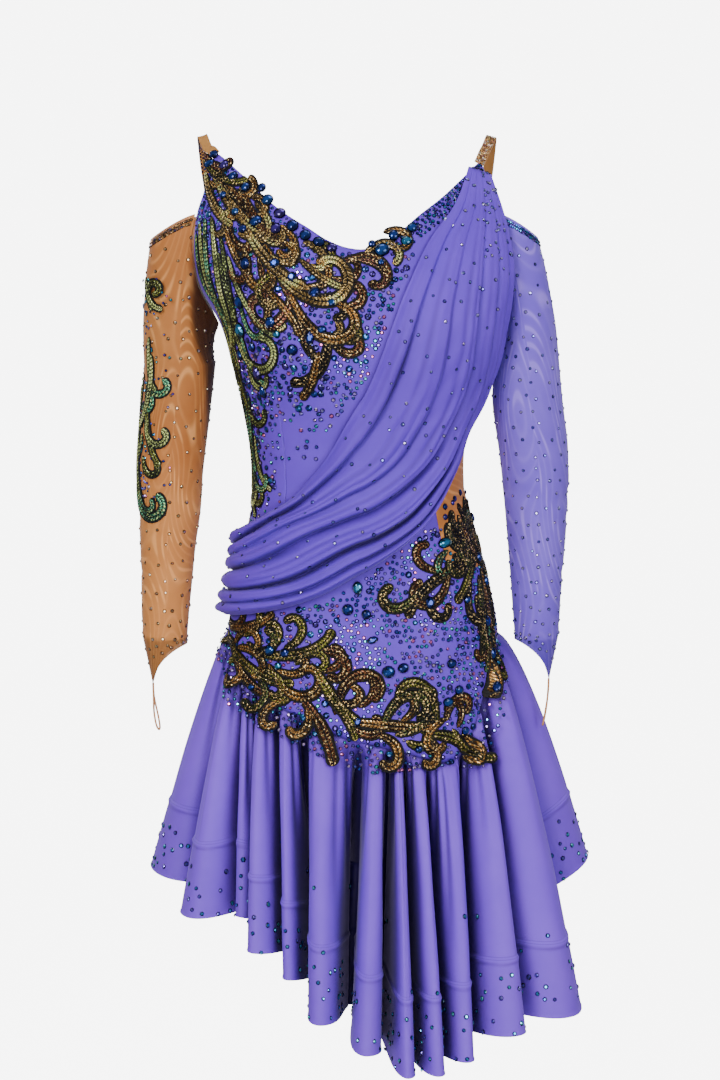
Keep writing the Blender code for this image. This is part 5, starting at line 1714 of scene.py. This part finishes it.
stones = {
    # mm across, z, radius across, radius along, heading, tint
    "large": [
        (-150, -30, 7, 5, 20, 1), (-144, -20, 6, 5, 10, 0), (-132, -32, 6.5, 5.5, 30, 3),
        (-122, -44, 6.5, 5.5, 30, 0), (-108, -56, 6, 5.5, 30, 1), (-76, -100, 6.5, 7, 0, 3),
        (-90, -57, 5, 6, 0, 0), (-84, -70, 7, 7, 0, 2), (-97, -92, 8, 6.5, 20, 1),
        (-112, -100, 5.5, 5.5, 0, 0), (-71, -84, 7, 6.5, 0, 3), (-58, -97, 7, 7, 0, 0),
        (-45, -107, 6.5, 6.5, 0, 1), (-31, -114, 7, 6, -20, 0), (-18, -120, 6, 5.5, 0, 3),
        (24, -116, 4.5, 4.5, 0, 0), (34, -122, 9, 7.5, 20, 2), (47, -107, 6, 6.5, 0, 1),
        (60, -113, 6.5, 6, 0, 4), (67, -99, 6, 5.5, 0, 2), (32, -135, 4, 4, 0, 1),
        (-112, -136, 6, 7.5, 10, 0), (-79, -136, 6.5, 6, 0, 1), (-120, -82, 5, 5, 0, 2),
        (-134, -64, 4.5, 5, 0, 1), (-62, -150, 5.5, 6, 0, 0), (-40, -166, 7, 6, 30, 0),
        (-70, -224, 6.5, 6.5, 0, 0), (-51, -212, 5, 8, 0, 0), (-38, -204, 5.5, 5, 0, 1),
        (-92, -196, 6.5, 7, 0, 1), (-86, -208, 4.5, 4.5, 0, 4), (-24, -176, 5, 5, 0, 2),
        (-139, -205, 8, 9, 20, 4), (-128, -176, 6, 8, 20, 1), (-122, -222, 5, 6, 0, 0),
        (-118, -250, 6, 9, 10, 3), (-110, -270, 5, 8, 10, 1), (-148, -232, 5, 7, 0, 1),
        (92, -432, 9, 6, 10, 4), (148, -452, 6, 6.5, 0, 0), (166, -412, 5, 6, 0, 1),
        (72, -494, 5.5, 7, 0, 0), (118, -494, 4.5, 4.5, 0, 1), (158, -478, 6, 7, 0, 1),
        (150, -520, 6, 7, 0, 0), (160, -556, 5.5, 8, 0, 1), (148, -590, 5.5, 7, 0, 0),
        (-5, -477, 5.5, 7, 0, 4), (3, -505, 5.5, 5.5, 0, 0), (-16, -500, 6.5, 6.5, 0, 1),
        (10, -532, 6.5, 4, 20, 0), (27, -566, 7.5, 7, 0, 2), (43, -562, 6.5, 5.5, 20, 0),
        (97, -560, 6, 5.5, 0, 0), (106, -589, 5.5, 5.5, 0, 1), (93, -601, 6.5, 5.5, 0, 2),
        (114, -634, 5, 5, 0, 1), (-102, -546, 6.5, 6.5, 0, 2), (-84, -548, 6, 6, 0, 0),
        (-92, -562, 4.5, 4.5, 0, 4), (-5, -619, 5, 5.5, 0, 0), (-40, -600, 4.5, 4.5, 0, 1),
        (60, -650, 5, 4.5, 0, 0), (-126, -588, 4.5, 4.5, 0, 1),
    ],
    # radius of each kind of stone, in mm
    "size": {"bust": 2.45, "shoulder": 1.8, "between": 1.9, "hip": 2.45 * 0.95, "neck": 2.1,
             "middle": 3.4, "sash": 2.2, "sleeve": 2.1, "cuff": 1.9, "drift": 1.8, "strap": 1.5,
             "hem": 2.7},
    # where they are scattered: left, right, low, high, pitch, and how far a stone may stray
    "areas": {"bust": (-176, 66, -340, -30, 6.6), "side": (-180, -84, -452, -236, 7.4),
              "hip": (-196, 186, -668, -415, 6.4), "middle": (-170, 172, -664, -30, 11.5, 0.3),
              "shoulder": (-182, -40, -110, -24, 5.6), "between": (-172, -20, -240, -36, 5.0),
              "betweenLow": (-172, -118, -400, -236, 5.4),
              "sash": (0.0, 0.985, 0.03, 0.985, 0.082, 0.34)},
    # the rows of the neckline's band: first angle, stones, mm below the edge
    "neckRows": [(11, 31, 3.0), (12, 30, 7.6), (13, 28, 12.2), (14, 26, 16.8), (16, 22, 21.6)],
}
stoneForms = {name: modelStone(cut) for name, cut in cuts.items()}
sashSpots = np.linspace(0, 1, sash["points"])
sashTree = KDTree(sash["points"] ** 2)
for k, spot in enumerate(sashSurface(sashSpots[:, None], sashSpots[None, :]).reshape(-1, 3)):
    sashTree.insert(Vector(spot), k)
sashTree.balance()


def scatter(left, right, low, high, pitch, stray=0.28):
    # staggered rows, each place strayed a little
    rows = []
    for k, b in enumerate(np.arange(low, high, pitch * 0.87)):
        a = np.arange(left + (k % 2) * pitch / 2, right, pitch)
        rows.append(np.stack([a, np.full(len(a), b)], -1))
    spots = np.concatenate(rows)
    return spots + rand.uniform(-stray, stray, spots.shape) * pitch


def scrollPlaces(names):
    # points along the scrolls, each with half the ribbon's width there
    lines = []
    for name in names:
        for row in scrolls[name]["rows"]:
            xs, zs, _, half, _ = scrollLine(row, max(10, int(row[3] / 4)))
            lines.append(np.stack([xs, zs, half], -1))
    return np.concatenate(lines)


def gapTo(spots, lines):
    # mm from each spot to the nearest edge of the lines or discs
    gap = np.hypot(spots[:, None, 0] - lines[None, :, 0], spots[:, None, 1] - lines[None, :, 1])
    return (gap - lines[None, :, 2]).min(axis=1)


def discs(spots, radius):
    return np.column_stack([spots, np.full(len(spots), radius)])


def clearOfSash(angle, z, room=7.5):
    return np.array([sashTree.find(Vector(p))[2] > room for p in onBody(angle, z)], bool)


def inPanel(angle, z, neckRoom, armRoom):
    # below the neckline, and in front of the armhole
    return (z < frontNeck(angle) - neckRoom) & (
        (np.abs(angle) < smooth(body["armhole"], z) - armRoom) | (z < body["underarm"]))


def drawn(spots, chance):
    return rand.uniform(0, 1, len(spots)) < chance


def setStones(name, kind, form, surface, spots, reach, tintName, height=0.75, angles=None,
              sizes=None, tintPick=None):
    # reach: how far along each way the surface is felt for its slope
    count, (a, b) = len(spots), spots.T
    places, frames = framesOf(surface, a, b, *reach)
    frames = turned(frames, rand.uniform(0, 6.28, count) if angles is None else angles)
    if sizes is None:
        r = stones["size"][kind] * rand.uniform(0.82, 1.16, count)
        sizes = np.stack([r, r, r * height], -1)
    choice = np.array(tints[tintName])
    pick = rand.integers(0, len(choice), count) if tintPick is None else tintPick
    verts, faces, shade = stoneForms[form]
    # the gold stones are painted less dark on their shaded facets
    if tintName == "gold":
        shade = [max(0.5, s) for s in shade]
    obj = manyObject(name, (verts, faces, shade), places - frames[:, 2] * 0.15, frames, sizes,
                     choice[pick])
    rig.ride(obj, "root")
    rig.slot(obj, "strap_stones" if tintName == "gold" else "stones")
    print("stones", name, count, "set,", len(obj.data.polygons), "faces")


def bodySpot(a, b):
    return onBody(angleOf(a, b), b, 0.1)


def makeFrontStones():
    scrollLines = scrollPlaces(["appliqueBust", "appliqueSide", "appliqueHipFront",
                                "appliqueHipLeft"])
    large = np.array(stones["large"], float)
    taken = np.concatenate([scrollLines, large[:, :3] * [1, 1, 1.05]])

    def laid(*names):
        spots = np.concatenate([scatter(*stones["areas"][name]) for name in names])
        return spots, *spots.T, angleOf(*spots.T)

    # bust and side, below and between the scrolls
    spots, a, b, angle = laid("bust")
    keep = inPanel(angle, b, 4, 2) & (gapTo(spots, taken) > 1.4)
    keep &= drawn(spots, np.clip(1.15 - np.clip(-b - 238, 0, 200) / 74, 0.16, 1))
    bust = spots[keep & clearOfSash(angle, b)]
    spots, a, b, angle = laid("side")
    keep = (gapTo(spots, taken) > 1.4) & clearOfSash(angle, b)
    keep &= drawn(spots, np.clip(1.25 + (a + 84) * -0.012 - 0.9, 0.25, 0.95))
    bust = np.concatenate([bust, spots[keep]])
    # hip, between the sash and the skirt
    spots, a, b, angle = laid("hip")
    keep = (b > seamZ(angle) - 26) & (gapTo(spots, taken) > 1.2)
    keep &= (gapTo(spots, scrollLines) < 26) | drawn(spots, np.where(b < -520, 0.5, 0.72))
    hip = spots[keep & clearOfSash(angle, b)]
    # dark stones of a middle size, close by the scrolls
    spots, a, b, angle = laid("middle")
    keep = (gapTo(spots, taken) > 2.6) & (gapTo(spots, scrollLines) < 12)
    keep &= (b > seamZ(angle) - 20) & (b < frontNeck(angle) - 6) & clearOfSash(angle, b, 9)
    keep &= inPanel(angle, b, 6, 4) & drawn(spots, np.where(b < -400, 0.4, 0.9))
    middle = spots[keep]
    bust, hip = (some[gapTo(some, discs(middle, 3.2)) > 1.6] for some in (bust, hip))
    # a band along the left half of the neckline
    neck = np.concatenate([np.stack([np.linspace(first, 60.0, count), np.full(count, -drop)], -1)
                           for first, count, drop in stones["neckRows"]])
    neck[:, 0] += rand.uniform(-0.5, 0.5, len(neck))
    neck[:, 1] += frontNeck(neck[:, 0])
    flat, a, b, angle = laid("shoulder")
    flat = flat[inPanel(angle, b, 3, 2) & (gapTo(flat, taken) > 1.0)]
    setStones("stonesBust", "bust", "small", bodySpot, bust, (1.0, 1.0), "mixed")
    setStones("stonesShoulder", "shoulder", "small", bodySpot, flat, (1.0, 1.0), "blues")
    # dark small stones fill what is left between the bust scrolls
    spots, a, b, angle = laid("between", "betweenLow")
    fill = (gapTo(spots, taken) > 0.9) & (gapTo(spots, scrollLines) < 13)
    fill &= gapTo(spots, discs(np.concatenate([bust, middle]), 2.6)) > 1.6
    fill &= inPanel(angle, b, 4, 2) & clearOfSash(angle, b)
    setStones("stonesBetween", "between", "small", bodySpot, spots[fill], (1.0, 1.0), "navy")
    setStones("stonesHip", "hip", "small", lambda a, b: onGarment(a, b, 0.1), hip, (1.0, 1.0),
              "mixed")
    setStones("stonesNeck", "neck", "small", lambda a, b: onBody(a, b, 0.6), neck, (0.6, 1.0),
              "blues")
    setStones("stonesMiddle", "middle", "round", lambda a, b: onGarment(a, b, 0.2), middle,
              (1.2, 1.2), "navy", 0.6)
    across, along = large[:, 2:4].T
    setStones("stonesLarge", "large", "fancy", lambda a, b: onGarment(a, b, 0.9), large[:, :2],
              (1.5, 1.5), "blues", angles=np.radians(large[:, 4]), sizes=np.column_stack(
                  [across * 0.9, along * 0.9, 0.5 * np.minimum(across, along) + 1.0]),
              tintPick=large[:, 5].astype(int))


def makeSashStones():
    # sparse, and closer where the sash is gathered at the left shoulder
    spots = scatter(*stones["areas"]["sash"])
    spots = spots[drawn(spots, 0.92)]
    extra = np.stack([rand.uniform(0.005, 0.19, 34), rand.uniform(0.45, 0.97, 34)], -1)
    setStones("stonesSash", "sash", "small", sashSurface, np.concatenate([spots, extra]),
              (0.002, 0.003), "pale")


def makeSleeveStones(side, name, tintName, edgeTint, pitch):
    # staggered all round, and two close rows along the top edge
    def surface(turn, t):
        return sleeveSurface(side, turn, t, 0.1)

    girth, drop = 226, 520  # mm round the sleeve and down it
    spots = scatter(0, girth, 20, 505, pitch, 0.2) / [girth, drop] * [360, 1]
    edge = np.concatenate([np.column_stack([turns, np.full(len(turns), t)]) for turns, t in (
        (np.arange(4, 177, 3.0), 0.0085), (np.arange(5.5, 176, 3.0), 0.0155))])
    reach = (1.2, -0.004 * side)
    setStones("stonesSleeve" + name, "sleeve", "small", surface, spots, reach, tintName)
    setStones("stonesCuffTop" + name, "cuff", "small", surface, edge, reach, edgeTint)


def makeDrift():
    # a closer drift of stones down the outer side of the right sleeve
    spots = np.stack([rand.normal(24, 16, 150), rand.uniform(-400, -150, 150)], -1)
    setStones("stonesSleeveDrift", "drift", "small", lambda a, b: onSleeve(a, b, 0.1), spots,
              (1.0, 1.0), "mixed")


def makeStrapStones(side, name):
    # close rows, every other one half a pitch further
    rows = straps["rows"]
    t = np.arange(0.008, 0.995, straps["pitch"])
    t = np.repeat(t, rows) + np.tile([0, 0.010], len(t) * rows // 2)
    spots = np.column_stack([np.tile(np.linspace(-0.76, 0.76, rows), len(t) // rows), t])
    setStones("stonesStrap" + name, "strap", "small", lambda a, b: strapSurface(side, b, a, 0.0),
              spots[t < 0.995], (0.05, 0.008), "gold", 0.9)


def makeHemStones():
    # scattered over the hem band, a few under the hip
    first, last, drop = -0.8, 36.8, 385  # steps round the skirt, mm down it
    wide = np.linalg.norm(np.diff(skirtPlain(np.linspace(first, last, 2001), 0.94), axis=0),
                          axis=1)
    spots = scatter(0, wide.sum(), 4, 74, 15.5, 0.3)
    # none down in the grooves, where they would rub
    s = np.interp(spots[:, 0], np.cumsum(wide), np.linspace(-0.78, last, 2000))
    shown = (np.abs((s + 1) % 2 - 1) < 0.62) & drawn(spots, 0.44)
    s = np.concatenate([s[shown], rand.uniform(first, last, 50)])
    t = np.concatenate([1 - spots[shown, 1] / drop, rand.uniform(0.5, 0.8, 50)])
    setStones("stonesHem", "hem", "small", lambda a, b: skirtSurface(a, b, 0.2)[0],
              np.stack([s, t], -1), (0.02, -0.004), "aqua")


makeFrontStones()
makeSashStones()
makeSleeveStones(-1, "Right", "skin", "rim", 21.0)
makeSleeveStones(1, "Left", "pale", "blues", 19.5)
makeDrift()
makeStrapStones(-1, "Right")
makeStrapStones(1, "Left")
makeHemStones()


# floor, lights and camera
studio = {
    "floor": -1.45, "size": 9.0, "back": 3.2, "bend": 1.2, "shade": (0.93, 0.93, 0.935, 1.0),
    "glow": 6.5, "world": (0.94, 0.95, 1.0, 1.0), "worldPower": 0.26,
    # name, place, what it faces, size, power, colour
    "lights": [
        ("keyLight", (-1.1, -2.5, 0.9), (0.0, 0.0, -0.45), 0.9, 45, (1.0, 0.985, 0.97)),
        ("fillLight", (1.6, -2.3, 0.3), (0.0, 0.0, -0.35), 1.3, 31, (0.98, 0.98, 1.0)),
        ("lowLight", (-0.3, -2.5, -0.9), (0.0, 0.0, -0.8), 1.2, 21, (1.0, 0.98, 1.0)),
        ("rimLight", (1.6, 1.6, 1.2), (0.0, 0.0, -0.3), 1.2, 18, (1.0, 1.0, 1.0)),
        ("rimLightLeft", (-1.8, 1.4, 0.6), (0.0, 0.0, -0.4), 1.2, 16, (1.0, 1.0, 1.0)),
        ("topLight", (0.0, -0.6, 2.2), (0.0, 0.0, 0.0), 1.2, 13, (1.0, 1.0, 1.0)),
    ],
}
view = {"place": (0.0, -2.4, -0.15), "pitch": 6.835386, "lens": 73.112, "sensor": 36.0,
        "near": 0.05, "far": 60}


def makeStage():
    # one sheet: a floor that bends up into a backdrop
    size, back, bend, low = studio["size"], studio["back"], studio["bend"], studio["floor"]
    line = [(-size, low)] + [(back - bend + bend * math.sin(a), low + bend - bend * math.cos(a))
                             for a in np.linspace(0, math.pi / 2, 12)] + [(back, low + size)]
    verts, faces = [], []
    for y, z in line:
        verts += [(-size, y, z), (size, y, z)]
    for k in range(len(line) - 1):
        faces.append((2 * k, 2 * k + 1, 2 * k + 3, 2 * k + 2))
    mesh = bpy.data.meshes.new("studioSheet")
    mesh.from_pydata(verts, [], faces)
    mesh.polygons.foreach_set("use_smooth", [True] * len(faces))
    sheet = newObject("studioSheet", mesh)
    mat, tree, shader, _ = newMaterial(
        "studioPaper", Base_Color=studio["shade"], Roughness=0.9,
        Emission_Color=(1.0, 1.0, 1.0, 1.0), Emission_Strength=studio["glow"])
    paper = placeGroup(tree, "cloth", Grain=300.0, Mottle=1.5, Shade=0.2)
    addBump(tree, shader, paper["Height"], 0.05, 0.0005)
    mesh.materials.append(mat)
    sheet.visible_diffuse = False
    sheet.visible_glossy = False
    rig.stage(sheet)


def makeLights():
    for name, place, target, size, watts, colour in studio["lights"]:
        data = bpy.data.lights.new(name, "AREA")
        data.shape = "SQUARE"
        data.size, data.energy, data.color = size, watts, colour
        lamp = newObject(name, data)
        lamp.location = place
        lamp.rotation_euler = (Vector(target) - Vector(place)).to_track_quat("-Z", "Y").to_euler()
    world = bpy.data.worlds.new("studioWorld")
    bpy.context.scene.world = world
    world.use_nodes = True
    nodes, links = world.node_tree.nodes, world.node_tree.links
    sky = nodes["Background"]
    setInputs(world.node_tree, sky, Color=studio["world"], Strength=studio["worldPower"])
    # seen straight on, the room is as pale as the floor
    pale, path, mixer = (nodes.new(kind) for kind in (
        "ShaderNodeBackground", "ShaderNodeLightPath", "ShaderNodeMixShader"))
    setInputs(world.node_tree, pale, Color=studio["shade"], Strength=studio["glow"])
    links.new(path.outputs["Is Camera Ray"], mixer.inputs[0])
    links.new(sky.outputs[0], mixer.inputs[1])
    links.new(pale.outputs[0], mixer.inputs[2])
    links.new(mixer.outputs[0], nodes["World Output"].inputs["Surface"])


def makeCamera():
    data = bpy.data.cameras.new("studioCamera")
    data.sensor_width, data.lens = view["sensor"], view["lens"]
    data.clip_start, data.clip_end = view["near"], view["far"]
    camera = newObject("studioCamera", data)
    camera.location = view["place"]
    camera.rotation_euler = (math.radians(90 - view["pitch"]), 0, 0)
    bpy.context.scene.camera = camera


makeStage()
makeLights()
makeCamera()
print("studio ready")

with open("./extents.json", "w") as note:
    json.dump({"cad": [list(map(float, p)) for p in cadBox],
               "dressed": [list(map(float, p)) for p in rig.bounds()]}, note)
